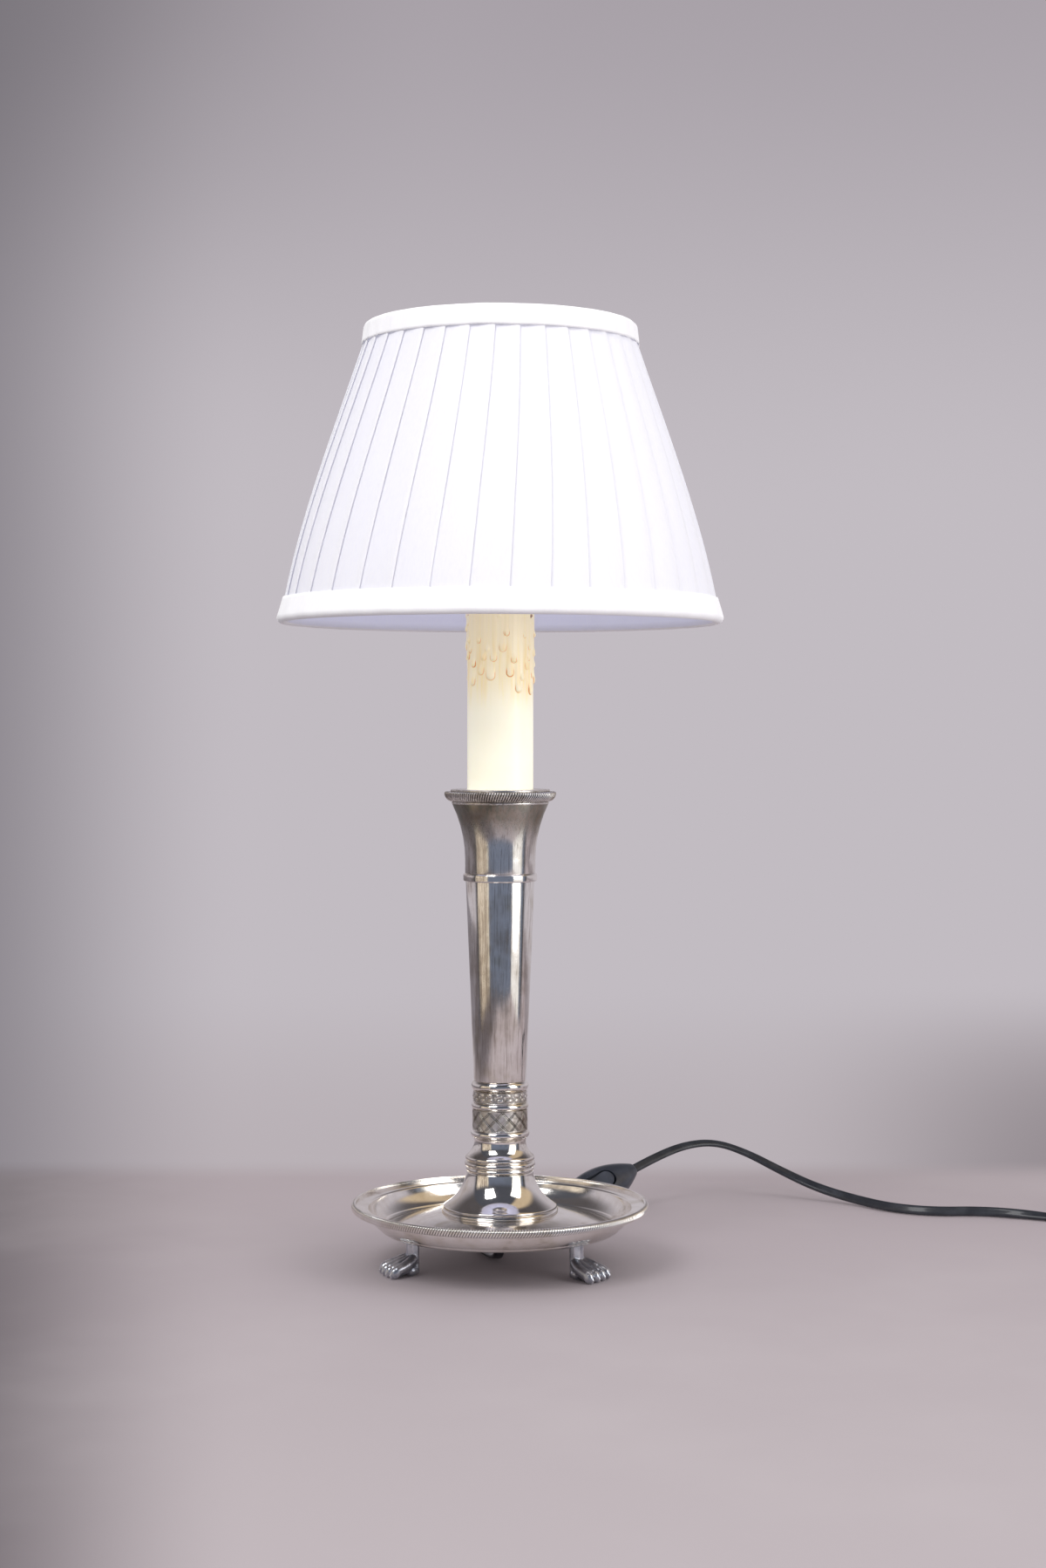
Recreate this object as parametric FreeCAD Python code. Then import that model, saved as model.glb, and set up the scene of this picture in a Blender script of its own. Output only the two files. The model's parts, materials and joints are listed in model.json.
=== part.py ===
import FreeCAD, Part
import math
import os

# Candlestick lamp. A turned column stands on a footed drip tray and carries a
# candle sleeve with an E27 holder, a bulb and a pleated shade. A flat twin
# lead with an in-line switch leaves under the tray and ends in a plug.
# Millimetres, +Z up, origin on the table under the column's axis. The front
# of the lamp is -Y. Angles round the axis are in degrees from +X towards +Y.

Vector = FreeCAD.Vector

# General fits
seam = 0.1                  # between curved pieces that are fixed together
running_gap = 0.3           # between pieces that move past each other
cloth_gap = 0.45            # between the frame's wires and the cloth round them
sheet = 1.2                 # wall of the spun metal pieces

# Tray
seat_height = 32.0          # table to the raised seat in the tray's middle
seat_radius = 33.8
tray_radius = 82.6          # edge of the spun dish, inside the rope border
tray_border = 7.0           # width of the flat border
tray_wall_reach = 9.1       # border's inner edge to the trough's lowest ring
trough_depth = 9.0          # seat to the trough's lowest ring
border_rise = 4.2           # seat to the border's outer edge
rope_border_height = 4.6
rope_border_width = 2.5

# Paw feet
foot_turn = -6.5            # the three feet, turned about the column's axis
foot_reach = 18.0           # border of the dish back to the feet's toe tips
stem_width = 9.0
stem_depth = 6.0
toe_count = 4
toe_radius = 3.0
toe_pitch = 5.4

# Threaded rod and its fasteners
rod_radius = 5.0
rod_bore = 4.1
rod_hole = rod_radius + running_gap     # hole for the rod in every piece that it passes
rod_end_below_seat = 9.5
rod_end_above_floor = 4.5   # holder's floor to the rod's top
nut_height = 5.0
holder_nut_height = 4.0
nut_width = 17.0            # across the flats
washer_radius = 15.0
washer_height = 1.5
core_radius = 11.5          # hollow middle of the turned collars
bushing_height = 3.9
bushing_bore = 2.95
bushing_rim = 2.0           # how far its head stands out over the rod
bushing_reach = 6.0         # length inside the rod

# Bell base and mouldings, from the seat upwards
step_height, step_radius = 2.3, 33.4
bell_height, bell_foot_radius, bell_top_radius = 21.1, 32.6, 19.2
bell_lip = 1.5
knop_height, knop_radius = 8.9, 20.3
neck_height, neck_radius = 10.5, 15.0
lower_bead_height, lower_bead_radius = 4.4, 17.0
lozenge_height, lozenge_radius = 11.7, 15.85
middle_bead_height, middle_bead_radius = 4.3, 16.5
leaf_height, leaf_radius = 6.4, 15.75
upper_bead_height, upper_bead_radius = 5.8, 16.5
shaft_height, shaft_foot_radius, shaft_top_radius = 114.1, 15.0, 19.7
shaft_ring_height, shaft_ring_radius = 4.7, 21.2
cup_height, cup_radius, cup_lip_radius = 39.4, 20.15, 27.5
cup_straight = 7.8          # plain part of the cup under its flare
pan_height, pan_radius = 8.4, cup_lip_radius + 0.9
pan_plate = 1.2
pan_fillet = 1.5
rope_ring_width = 3.6       # how far the rope ring stands out over the pan
rope_ring_radius = pan_radius + rope_ring_width
centring_disc = 3.0

# Candle sleeve and lamp holder
sleeve_height, sleeve_radius, sleeve_wall = 112.0, 18.85, 1.55
seat_ring_height = 3.0
holder_depth = 34.0         # sleeve's top down to the holder cap's underside
holder_wall = 2.0
holder_floor = 3.0
skirt_height, skirt_radius, skirt_bore = 22.0, 19.75, 15.6
flange_height, flange_radius = 2.4, skirt_radius + 2.25
thread_pitch = 2.5
thread_depth = 0.7
insert_rise, insert_height = 12.0, 8.0
contact_height, contact_radius = 3.0, 3.0
terminal_radius, terminal_height, terminal_offset = 1.9, 1.5, 9.5
holder_play = 0.4           # between the holder's cap and the sleeve
wire_radius = 1.3
wire_offset = 1.45          # half the spacing of the two supply wires

# Bulb, E27
cap_radius, cap_height = 13.1, 20.0
cap_play = 0.8              # between the bulb's cap and the screw shell
cap_rings = 5
tip_height = 4.7            # tip contact and its insulator, below the cap
globe_radius = 30.0
bulb_length = 102.4         # tip contact to the crown of the globe
bulb_wall = 0.8
shell_height, shell_bore, shell_wall = 22.0, cap_radius + cap_play, 0.5

# Shade
pleats = 36
pleat_depth = 2.2
cover_wall = 0.6
pleat_tuck = 0.6            # degrees that a pleat's step takes
pleat_twist = 5.3           # degrees that the pleats lean, foot to top
first_pleat = 7.5           # fold next to the front, at the shade's top
shade_height = 170.2
shade_foot_radius, shade_top_radius = 127.3, 78.1
shade_drop = 17.8           # sleeve's top down to the shade's lowest edge
band_wall = 0.7
band_height = 14.6
top_band_height = 12.0
wire_ring_radius = 2.0      # half the thickness of the two frame rings
strut_count = 6
strut_radius = 1.2
lining_wall = 0.6
fitter_plate = 1.8
fitter_bore = skirt_radius + 0.85
arm_radius = 1.5
arm_count = 3
shade_ring_height, shade_ring_radius = 6.0, skirt_radius + 6.75
fitter_radius = shade_ring_radius + 2.0

# Lead, switch and plug
cord_radius = 3.15
cord_rest = 3.2             # height of the lead's middle where it lies
switch_length, switch_width, switch_thickness = 68.0, 27.0, 19.0
switch_end_width, switch_end_thickness = 7.6, 7.0
switch_wall = 1.8
switch_place = Vector(61.5, 154.5, 15.0)
switch_axis = Vector(24.5, 21.5, 9.1)
switch_roll = 40.0          # how far its face leans towards the front
rocker_length, rocker_width = 22.8, 11.0
rocker_throw = 14.0         # degrees from off to on
rocker_low, rocker_high = -1.5, 8.4
rocker_pivot = 3.2          # height of the pin over the seam
rocker_pin_radius = 1.0
mouth_end_play, mouth_side_play = 2.0, 1.2
finger_dish = 26.0          # radius of the hollow along the rocker's top
cheek_width, cheek_wall = 5.0, 2.2
contact_length, contact_width, contact_thickness = 7.0, 6.0, 1.0
switch_screw_radius = 1.4
switch_screw_head = 2.2
switch_screw_offset = 24.0
relief_length = 26.0
plug_length, plug_width, plug_thickness = 35.0, 26.0, 13.6
pin_radius, pin_length, pin_spacing = 2.0, 19.0, 18.6

# Coil of the spare lead: in for half its turns, up a layer, and out again
coil_outer_radius = 43.5
coil_step = 6.8             # from one turn to the next beside it
coil_layer = 6.9            # from one layer to the next
coil_turns_in = 2.5

# Heights that follow from the stack
step_top = seat_height + step_height
bell_top = step_top + bell_height
knop_top = bell_top + knop_height
neck_top = knop_top + neck_height
lower_bead_top = neck_top + lower_bead_height
lozenge_top = lower_bead_top + lozenge_height
middle_bead_top = lozenge_top + middle_bead_height
leaf_top = middle_bead_top + leaf_height
upper_bead_top = leaf_top + upper_bead_height
shaft_top = upper_bead_top + shaft_height
shaft_ring_top = shaft_top + shaft_ring_height
cup_top = shaft_ring_top + cup_height
pan_top = cup_top + pan_height
sleeve_top = pan_top + sleeve_height
holder_bottom = sleeve_top - holder_depth
insert_bottom = holder_bottom + insert_rise
insert_top = insert_bottom + insert_height
rod_bottom = seat_height - rod_end_below_seat
rod_top = holder_bottom + holder_floor + rod_end_above_floor
flange_top = sleeve_top + flange_height
fitter_bottom = flange_top + running_gap
fitter_top = fitter_bottom + fitter_plate
tip_bottom = insert_top + contact_height + running_gap
shade_foot = sleeve_top - shade_drop
shade_top = shade_foot + shade_height
trough_height = seat_height - trough_depth
border_height = seat_height + border_rise
trough_radius = tray_radius - tray_border - tray_wall_reach

parts = {}


def polar(radius, angle, height=0.0):
    turn = math.radians(angle)
    return Vector(radius * math.cos(turn), radius * math.sin(turn), height)


# Edges through (radius, height) pairs in the XZ plane. A step is the end of a
# straight line, or a pair of a middle point and an end for an arc.
def outline_edges(start, steps):
    edges = []
    here = Vector(start[0], 0, start[1])
    for step in steps:
        if isinstance(step[0], tuple):
            middle = Vector(step[0][0], 0, step[0][1])
            there = Vector(step[1][0], 0, step[1][1])
            edges.append(Part.Arc(here, middle, there).toShape())
        else:
            there = Vector(step[0], 0, step[1])
            edges.append(Part.LineSegment(here, there).toShape())
        here = there
    return edges


def revolved(face):
    return face.revolve(Vector(0, 0, 0), Vector(0, 0, 1), 360)


# Solid of revolution inside a closed outline, whose last side is drawn here
def turned(start, *steps):
    edges = outline_edges(start, steps + (start,))
    return revolved(Part.Face(Part.Wire(edges)))


# Spun sheet whose outer face follows the outline. The wall lies on the right
# of the direction in which the outline runs.
def spun(wall, start, *steps):
    wire = Part.Wire(outline_edges(start, steps))
    return revolved(wire.makeOffset2D(-wall, join=0, fill=True, openResult=True).Faces[0])


def ring(inner, outer, low, high):
    return turned((inner, low), (outer, low), (outer, high), (inner, high))


def post(radius, low, high, x=0.0, y=0.0):
    return Part.makeCylinder(radius, high - low, Vector(x, y, low))


# Hexagonal nut round the rod
def nut(width, low, high):
    corner = width / math.sqrt(3)
    hexagon = Part.makePolygon([polar(corner, 60 * side, low) for side in range(7)])
    body = Part.Face(hexagon).extrude(Vector(0, 0, high - low))
    return body.cut(post(rod_hole, low - 1, high + 1))


# Placement whose X and Z directions are given
def facing(origin, along, up):
    x = Vector(along).normalize()
    z = (up - x * up.dot(x)).normalize()
    y = z.cross(x)
    turn = FreeCAD.Rotation(FreeCAD.Matrix(x.x, y.x, z.x, 0, x.y, y.y, z.y, 0, x.z, y.z, z.z, 0))
    return FreeCAD.Placement(origin, turn)


# Round tube along straight runs joined by tangent arcs. Each arc takes 0.45
# of the shorter of its two runs.
def bent_tube(name, points, radius):
    runs = [after - before for before, after in zip(points, points[1:])]
    edges = []
    radii = []
    here = points[0]
    for corner, before, after in zip(points[1:], runs, runs[1:]):
        reach = 0.45 * min(before.Length, after.Length)
        half_turn = before.getAngle(after) / 2
        bend = reach / math.tan(half_turn)
        inward = (Vector(after).normalize() - Vector(before).normalize()).normalize()
        middle = corner + inward * (bend / math.cos(half_turn) - bend)
        start = corner - Vector(before).normalize() * reach
        end = corner + Vector(after).normalize() * reach
        edges.append(Part.LineSegment(here, start).toShape())
        edges.append(Part.Arc(start, middle, end).toShape())
        radii.append(bend)
        here = end
    edges.append(Part.LineSegment(here, points[-1]).toShape())
    tube = swept(edges, points[0], runs[0], radius)
    length = sum(edge.Length for edge in edges)
    report_tube(name, tube, length, radius)
    print(name, "bend radii", [round(bend) for bend in radii])
    return tube


def swept(edges, start, direction, radius):
    circle = Part.Wire(Part.makeCircle(radius, start, Vector(direction)))
    return Part.Wire(edges).makePipeShell([circle], True, False)


def report_tube(name, tube, length, radius):
    share = tube.Volume / (math.pi * radius ** 2 * length)
    print(name, "length", round(length, 1), "volume over section times length", round(share, 4))


# Two arcs from one point and direction to another point and direction
def biarc(start, start_way, end, end_way):
    chord = end - start
    ways = start_way + end_way
    spread = 2 * (1 - start_way.dot(end_way))
    along = chord.dot(ways)
    reach = (math.sqrt(along ** 2 + spread * chord.dot(chord)) - along) / spread
    joint = (start + end + (start_way - end_way) * reach) / 2
    return [arc_from(start, start_way, joint), arc_from(end, end_way * -1, joint)]


def arc_from(start, way, end):
    chord = end - start
    across = way - chord * (way.dot(chord) / chord.dot(chord))
    bow = math.tan(way.getAngle(chord) / 2) * chord.Length / 2
    middle = (start + end) / 2 + across.normalize() * bow
    return Part.Arc(start, middle, end).toShape()


# ---- Tray and feet ----

def make_tray():
    dome_end = trough_radius - 2.4
    dome_drop = trough_depth - 0.9
    dome_middle = ((seat_radius + dome_end) / 2, seat_height - 0.42 * dome_drop)
    wall_foot = (trough_radius + 2.2, trough_height + 1.6)
    border_inner = tray_radius - tray_border
    wall_head = (border_inner - 0.4, border_height - 2.2)
    run = wall_head[0] - wall_foot[0]
    rise = wall_head[1] - wall_foot[1]
    wall_middle = (wall_foot[0] + 0.62 * run, wall_foot[1] + 0.42 * rise)
    dish = spun(
        sheet,
        (rod_hole, seat_height),
        (seat_radius, seat_height),
        (dome_middle, (dome_end, seat_height - dome_drop)),
        ((trough_radius, trough_height), wall_foot),
        (wall_middle, wall_head),
        ((border_inner + 0.1, border_height - 1.3), (border_inner + 1.0, border_height - 1.0)),
        (tray_radius, border_height))
    parts["tray"] = dish.common(post(tray_radius, 0, 2 * seat_height))
    inner = tray_radius + seam
    middle = border_height - 0.8
    half = rope_border_height / 2
    parts["tray_rope_border"] = turned(
        (inner, middle - half),
        (inner + rope_border_width / 2, middle - half),
        ((inner + rope_border_width, middle), (inner + rope_border_width / 2, middle + half)),
        (inner, middle + half))


# Ball, or ball-ended bar, of a paw
def bar(start, end, radius):
    length = end - start
    shape = Part.makeCylinder(radius, length.Length, start, length)
    return shape.fuse([Part.makeSphere(radius, start), Part.makeSphere(radius, end)])


# One foot pointing along +X, with its stem up to the dish's underside
def paw():
    tip = tray_radius - foot_reach + toe_radius
    stem_back = tip - 16.5
    front = stem_back + stem_depth
    side = stem_width / 2
    section = [
        Part.LineSegment(Vector(front - 2.6, -side, 0), Vector(stem_back, -side, 0)).toShape(),
        Part.LineSegment(Vector(stem_back, -side, 0), Vector(stem_back, side, 0)).toShape(),
        Part.LineSegment(Vector(stem_back, side, 0), Vector(front - 2.6, side, 0)).toShape(),
        Part.Arc(Vector(front - 2.6, side, 0), Vector(front, 0, 0),
                 Vector(front - 2.6, -side, 0)).toShape()]
    stem = Part.Face(Part.Wire(section)).extrude(Vector(0, 0, seat_height))
    pieces = []
    for toe in range(toe_count):
        y = (toe - (toe_count - 1) / 2) * toe_pitch
        instep = Vector(front - 1.5, 0.45 * y, 9.5)
        knuckle = Vector(tip - 7.0, 0.82 * y, 5.6)
        nail = Vector(tip - abs(y) * 0.12, y, toe_radius - 0.4)
        pieces.append(bar(instep, knuckle, 0.9 * toe_radius))
        pieces.append(bar(knuckle, nail, toe_radius))
    pieces.append(bar(Vector(front - 2, -3, 2.6), Vector(front - 2, 3, 2.6), toe_radius))
    below = Part.makeBox(80, 80, 20, Vector(tip - 60, -40, -20))
    return stem.fuse(pieces).cut(below)


def make_feet():
    # everything above the dish's underside is cut away from the stems
    over = turned(
        (rod_hole, seat_height - sheet - seam),
        (seat_radius, seat_height - sheet - seam),
        (trough_radius - 2.4, trough_height + 0.9 - sheet - seam),
        (trough_radius - 2.4, seat_height + 20),
        (rod_hole, seat_height + 20))
    foot = paw().cut(over).cut(parts["tray"])
    places = {"paw_foot_left": 210, "paw_foot_right": 330, "paw_foot_rear": 90}
    for name, angle in places.items():
        turn = FreeCAD.Rotation(Vector(0, 0, 1), angle + foot_turn)
        placed = foot.copy()
        placed.Placement = FreeCAD.Placement(Vector(0, 0, 0), turn)
        parts[name] = placed


# ---- Column ----

def make_rod():
    under = seat_height - sheet - seam
    parts["threaded_rod"] = ring(rod_bore, rod_radius, rod_bottom, rod_top)
    parts["base_washer"] = ring(rod_hole, washer_radius, under - washer_height, under)
    nut_top = under - washer_height
    parts["base_nut"] = nut(nut_width, nut_top - nut_height, nut_top)
    parts["column_nut"] = nut(nut_width, pan_top, pan_top + nut_height)
    floor = holder_bottom + holder_floor
    parts["holder_nut"] = nut(nut_width, floor, floor + holder_nut_height)
    bushing_bottom = rod_bottom - seam - bushing_height
    parts["cord_bushing"] = turned(
        (bushing_bore, bushing_bottom),
        (rod_radius + bushing_rim / 2, bushing_bottom),
        (rod_radius + bushing_rim, bushing_bottom + bushing_rim / 2),
        (rod_radius + bushing_rim, rod_bottom - seam),
        (rod_bore - seam, rod_bottom - seam),
        (rod_bore - seam, rod_bottom + bushing_reach),
        (bushing_bore, rod_bottom + bushing_reach))
    wires = [
        post(wire_radius, bushing_bottom, insert_bottom - seam, x)
        for x in (-wire_offset, wire_offset)]
    parts["supply_wires"] = Part.makeCompound(wires)
    return bushing_bottom


# Collar with a bulging outside, standing on the rod's hollow core
def bead(radius, low, high):
    root = radius - (high - low) * 0.35
    middle = (low + high) / 2
    return turned(
        (core_radius, low), (root, low),
        ((radius, middle), (root, high)),
        (core_radius, high))


def make_column():
    parts["bell_step_ring"] = turned(
        (bell_foot_radius - 6, seat_height),
        (step_radius - 0.4, seat_height),
        ((step_radius, seat_height + 0.7), (step_radius - 0.3, seat_height + 1.5)),
        (step_radius - 0.9, step_top),
        (bell_foot_radius - 6, step_top))
    parts["bell_base"] = spun(
        sheet,
        (rod_hole, bell_top),
        (bell_top_radius - 0.9, bell_top),
        ((bell_top_radius - 0.25, bell_top - 0.25), (bell_top_radius, bell_top - 0.9)),
        ((bell_top_radius + 4.0, step_top + 0.47 * bell_height),
         (bell_foot_radius - 0.3, step_top + bell_lip)),
        (bell_foot_radius, step_top + bell_lip - 0.4),
        (bell_foot_radius, step_top))
    parts["base_knop"] = turned(
        (core_radius, bell_top),
        (knop_radius - 1.3, bell_top),
        ((knop_radius - 0.8, bell_top + 1.2), (knop_radius - 1.3, bell_top + 2.4)),
        ((knop_radius, bell_top + 4.3), (knop_radius - 1.2, bell_top + 6.1)),
        ((knop_radius - 0.4, bell_top + 7.5), (knop_radius - 0.9, knop_top)),
        (core_radius, knop_top))
    parts["scotia_neck"] = turned(
        (core_radius, knop_top),
        (knop_radius - 0.9, knop_top),
        ((neck_radius + 1.3, knop_top + 0.32 * neck_height),
         (neck_radius, knop_top + 0.72 * neck_height)),
        ((neck_radius, knop_top + 0.86 * neck_height), (neck_radius + 0.4, neck_top)),
        (core_radius, neck_top))
    parts["lower_bead"] = bead(lower_bead_radius, neck_top, lower_bead_top)
    parts["lozenge_collar"] = ring(core_radius, lozenge_radius, lower_bead_top, lozenge_top)
    parts["middle_bead"] = bead(middle_bead_radius, lozenge_top, middle_bead_top)
    parts["leaf_collar"] = ring(core_radius, leaf_radius, middle_bead_top, leaf_top)
    parts["upper_bead"] = bead(upper_bead_radius, leaf_top, upper_bead_top)
    parts["tapered_shaft"] = turned(
        (shaft_foot_radius - sheet, upper_bead_top),
        (shaft_foot_radius, upper_bead_top),
        (shaft_top_radius, shaft_top),
        (shaft_top_radius - sheet, shaft_top))
    parts["shaft_centring_disc"] = ring(
        rod_hole, shaft_foot_radius - sheet - running_gap,
        upper_bead_top, upper_bead_top + centring_disc)
    parts["shaft_ring"] = turned(
        (rod_hole, shaft_top),
        (shaft_ring_radius - 0.5, shaft_top),
        (shaft_ring_radius, shaft_top + 0.5),
        (shaft_ring_radius, shaft_ring_top - 0.8),
        (shaft_ring_radius - 0.8, shaft_ring_top),
        (rod_hole, shaft_ring_top))
    cup = spun(
        sheet,
        (cup_lip_radius, cup_top),
        ((cup_radius + 1.95, shaft_ring_top + 0.61 * cup_height),
         (cup_radius, shaft_ring_top + cup_straight)),
        (cup_radius, shaft_ring_top))
    parts["flared_cup"] = cup.common(post(2 * cup_lip_radius, shaft_ring_top, cup_top))


def make_nozzle():
    collar = pan_radius - 1.2
    plate_bottom = pan_top - pan_plate
    fillet_top = cup_top + pan_fillet
    parts["drip_pan"] = turned(
        (rod_hole, pan_top),
        (pan_radius - 0.6, pan_top),
        ((pan_radius - 0.1, pan_top - 0.2), (pan_radius, pan_top - 0.7)),
        (pan_radius, plate_bottom),
        (collar, plate_bottom),
        (collar, fillet_top),
        ((cup_lip_radius + 0.3, cup_top + pan_fillet / 2), (collar, cup_top)),
        (collar - 2, cup_top),
        (collar - 2, plate_bottom - 0.6),
        (rod_hole, plate_bottom - 0.6))
    inner = collar + seam
    low = fillet_top + seam
    high = plate_bottom - seam
    parts["drip_pan_rope_ring"] = turned(
        (inner, low),
        (inner + 1.0, low),
        ((rope_ring_radius - 0.9, low + 1.9), (rope_ring_radius, high - 1.2)),
        ((rope_ring_radius - 0.2, high - 0.4), (rope_ring_radius - 0.9, high)),
        (inner, high))


# Runs of wax as photographed on the front, and the like on the back: angle
# round the sleeve, length from its top, and half width
wax_runs = [
    (-178, 33, 2.2), (-160, 38, 1.8), (-146, 53, 2.3), (-126, 47, 2.2), (-107, 50, 2.6),
    (-86, 34, 2.0), (-73, 48, 2.1), (-57, 57, 2.0), (-37, 44, 1.9), (-25, 58, 2.3),
    (-10, 36, 1.9), (8, 52, 2.4), (27, 41, 2.0), (45, 55, 2.2), (64, 37, 2.1),
    (83, 49, 2.5), (101, 43, 1.9), (120, 57, 2.2), (141, 40, 2.1), (161, 51, 2.3)]


def make_sleeve():
    bore = sleeve_radius - sleeve_wall
    body = ring(bore, sleeve_radius, pan_top, sleeve_top)
    runs = []
    for angle, length, half_width in wax_runs:
        centre = sleeve_radius - 0.35 * half_width
        foot = polar(centre, angle, sleeve_top - length + half_width)
        run = Part.makeCylinder(half_width, length - half_width, foot)
        runs.append(run.fuse(Part.makeSphere(half_width, foot)))
    sleeve = body.fuse(runs).cut(post(bore, pan_top - 1, sleeve_top + 1))
    parts["candle_sleeve"] = sleeve
    parts["sleeve_seat_ring"] = ring(
        nut_width / math.sqrt(3) + 1, bore - seam, pan_top, pan_top + seat_ring_height)


# ---- Lamp holder and bulb ----

def make_holder():
    outer = sleeve_radius - sleeve_wall - holder_play
    bore = outer - holder_wall
    floor = holder_bottom + holder_floor
    parts["holder_cap"] = turned(
        (rod_hole, holder_bottom),
        (outer - 3, holder_bottom),
        ((outer - 0.9, holder_bottom + 0.9), (outer, holder_bottom + 3)),
        (outer, sleeve_top - holder_play),
        (bore, sleeve_top - holder_play),
        (bore, insert_bottom),
        (bore - 2, insert_bottom),
        (bore - 2, insert_bottom - 3),
        (bore, insert_bottom - 5),
        (bore, floor),
        (rod_hole, floor))
    parts["holder_insert"] = post(bore - running_gap, insert_bottom, insert_top)
    parts["screw_shell"] = ring(
        shell_bore, shell_bore + shell_wall, insert_top, insert_top + shell_height)
    parts["centre_contact"] = post(contact_radius, insert_top, insert_top + contact_height)
    screws = [
        post(terminal_radius, insert_top, insert_top + terminal_height, 0, y)
        for y in (-terminal_offset, terminal_offset)]
    parts["terminal_screws"] = Part.makeCompound(screws)
    # outside of the skirt with its turned thread, from the flange to the top
    steps = []
    height = flange_top + 1.0
    while height + thread_pitch < sleeve_top + skirt_height - 1.0:
        steps.append((skirt_radius, height))
        steps.append((skirt_radius - thread_depth, height + thread_pitch / 2))
        height += thread_pitch
    parts["holder_skirt"] = turned(
        (skirt_bore, sleeve_top),
        (flange_radius, sleeve_top),
        (flange_radius, flange_top),
        (skirt_radius, flange_top),
        *steps,
        (skirt_radius, height),
        (skirt_radius, sleeve_top + skirt_height - 0.8),
        (skirt_radius - 0.8, sleeve_top + skirt_height),
        (skirt_bore, sleeve_top + skirt_height))
    parts["shade_ring"] = ring(
        skirt_radius + running_gap, shade_ring_radius,
        fitter_top + running_gap, fitter_top + running_gap + shade_ring_height)


def make_bulb():
    cap_bottom = tip_bottom + tip_height
    cap_top = cap_bottom + cap_height
    crown = tip_bottom + bulb_length
    globe = crown - globe_radius
    parts["bulb_tip"] = turned(
        (0, tip_bottom),
        (3.4, tip_bottom),
        ((4.3, tip_bottom + 0.3), (4.6, tip_bottom + 1.0)),
        (4.8, tip_bottom + 1.0),
        (cap_radius - 1.8, cap_bottom - seam),
        (0, cap_bottom - seam))
    rings = [(cap_radius - 0.9, cap_bottom + 1.0)]
    pitch = (cap_height - 4.0) / cap_rings
    for count in range(cap_rings):
        low = cap_bottom + 1.0 + count * pitch
        rings.append(((cap_radius, low + pitch / 2), (cap_radius - 0.9, low + pitch)))
    parts["bulb_cap"] = turned(
        (0, cap_bottom),
        (cap_radius - 1.6, cap_bottom),
        *rings,
        (cap_radius - 0.6, cap_top - 2.0),
        (cap_radius - 0.6, cap_top),
        (0, cap_top))
    slope = math.radians(24)
    shoulder = (globe_radius * math.cos(slope), globe - globe_radius * math.sin(slope))
    neck = (skirt_bore - 0.9, sleeve_top + skirt_height + 1)
    swell = ((neck[0] + shoulder[0]) / 2 - 0.9, (neck[1] + shoulder[1]) / 2 + 0.9)
    parts["bulb_globe"] = spun(
        bulb_wall,
        (0, crown),
        ((globe_radius * math.cos(slope), globe + globe_radius * math.sin(slope)),
         (globe_radius, globe)),
        ((globe_radius * math.cos(slope / 2), globe - globe_radius * math.sin(slope / 2)),
         shoulder),
        (swell, neck),
        (cap_radius - 0.3, cap_top + seam))


# ---- Shade ----

# Heights above the shade's foot, with the folds' crests there measured from
# its radius. The cover bellies a little between its two bands: the shares are
# of the way up and of the way in.
cover_start, cover_end = 8.3, 6.9       # from the shade's foot, and from its top
cover_inset, cover_overhang = 3.0, 1.7  # inside the foot's radius, under the head's
cover_belly = [(0, 0), (23.5 / 155, 5 / 47.5), (83 / 155, 22.6 / 47.5), (1, 1)]
cover_rise = shade_height - cover_start - cover_end
cover_narrowing = shade_foot_radius - shade_top_radius - cover_overhang
cover_levels = [
    (cover_start + cover_rise * up, -cover_inset - cover_narrowing * inward)
    for up, inward in cover_belly]


def fold_wire(rise, inset):
    share = (rise - 15.0) / (shade_height - 30.0)
    lean = first_pleat - pleat_twist * (1 - share) - 90
    crest = shade_foot_radius + inset
    points = []
    for count in range(pleats):
        angle = 360 / pleats * count + lean
        points.append(polar(crest, angle, shade_foot + rise))
        points.append(polar(crest - pleat_depth, angle + pleat_tuck, shade_foot + rise))
    return Part.makePolygon(points + points[:1])


def make_cover():
    outside = Part.makeLoft([fold_wire(rise, inset) for rise, inset in cover_levels], True, True)
    depth = pleat_depth + cover_wall
    walls = [(shade_foot_radius + inset - depth, shade_foot + rise) for rise, inset in cover_levels]
    low, high = shade_foot, shade_top + 5
    inside = turned((0, low), (walls[0][0], low), *walls, (walls[-1][0], high), (0, high))
    parts["shade_cover"] = outside.cut(inside)


# Height and radius of the two frame rings' wire centres
def ring_centres():
    inset = wire_ring_radius + cloth_gap + band_wall
    foot = (shade_foot_radius - inset, shade_foot + inset + 0.1)
    head = (shade_top_radius - inset, shade_top - inset)
    return foot, head


def make_frame():
    foot, head = ring_centres()
    for name, centre in (("shade_foot_wire", foot), ("shade_top_wire", head)):
        parts[name] = Part.makeTorus(centre[0], wire_ring_radius, Vector(0, 0, centre[1]))
    low = (foot[0] - 3.1, foot[1] + 0.7)
    high = (head[0] - 2.8, head[1] - 2.2)
    struts = []
    for count in range(strut_count):
        angle = 360 / strut_count * count
        start, end = polar(low[0], angle, low[1]), polar(high[0], angle, high[1])
        length = end - start
        struts.append(Part.makeCylinder(strut_radius, length.Length, start, length))
    parts["shade_struts"] = Part.makeCompound(struts)
    return low, high


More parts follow.
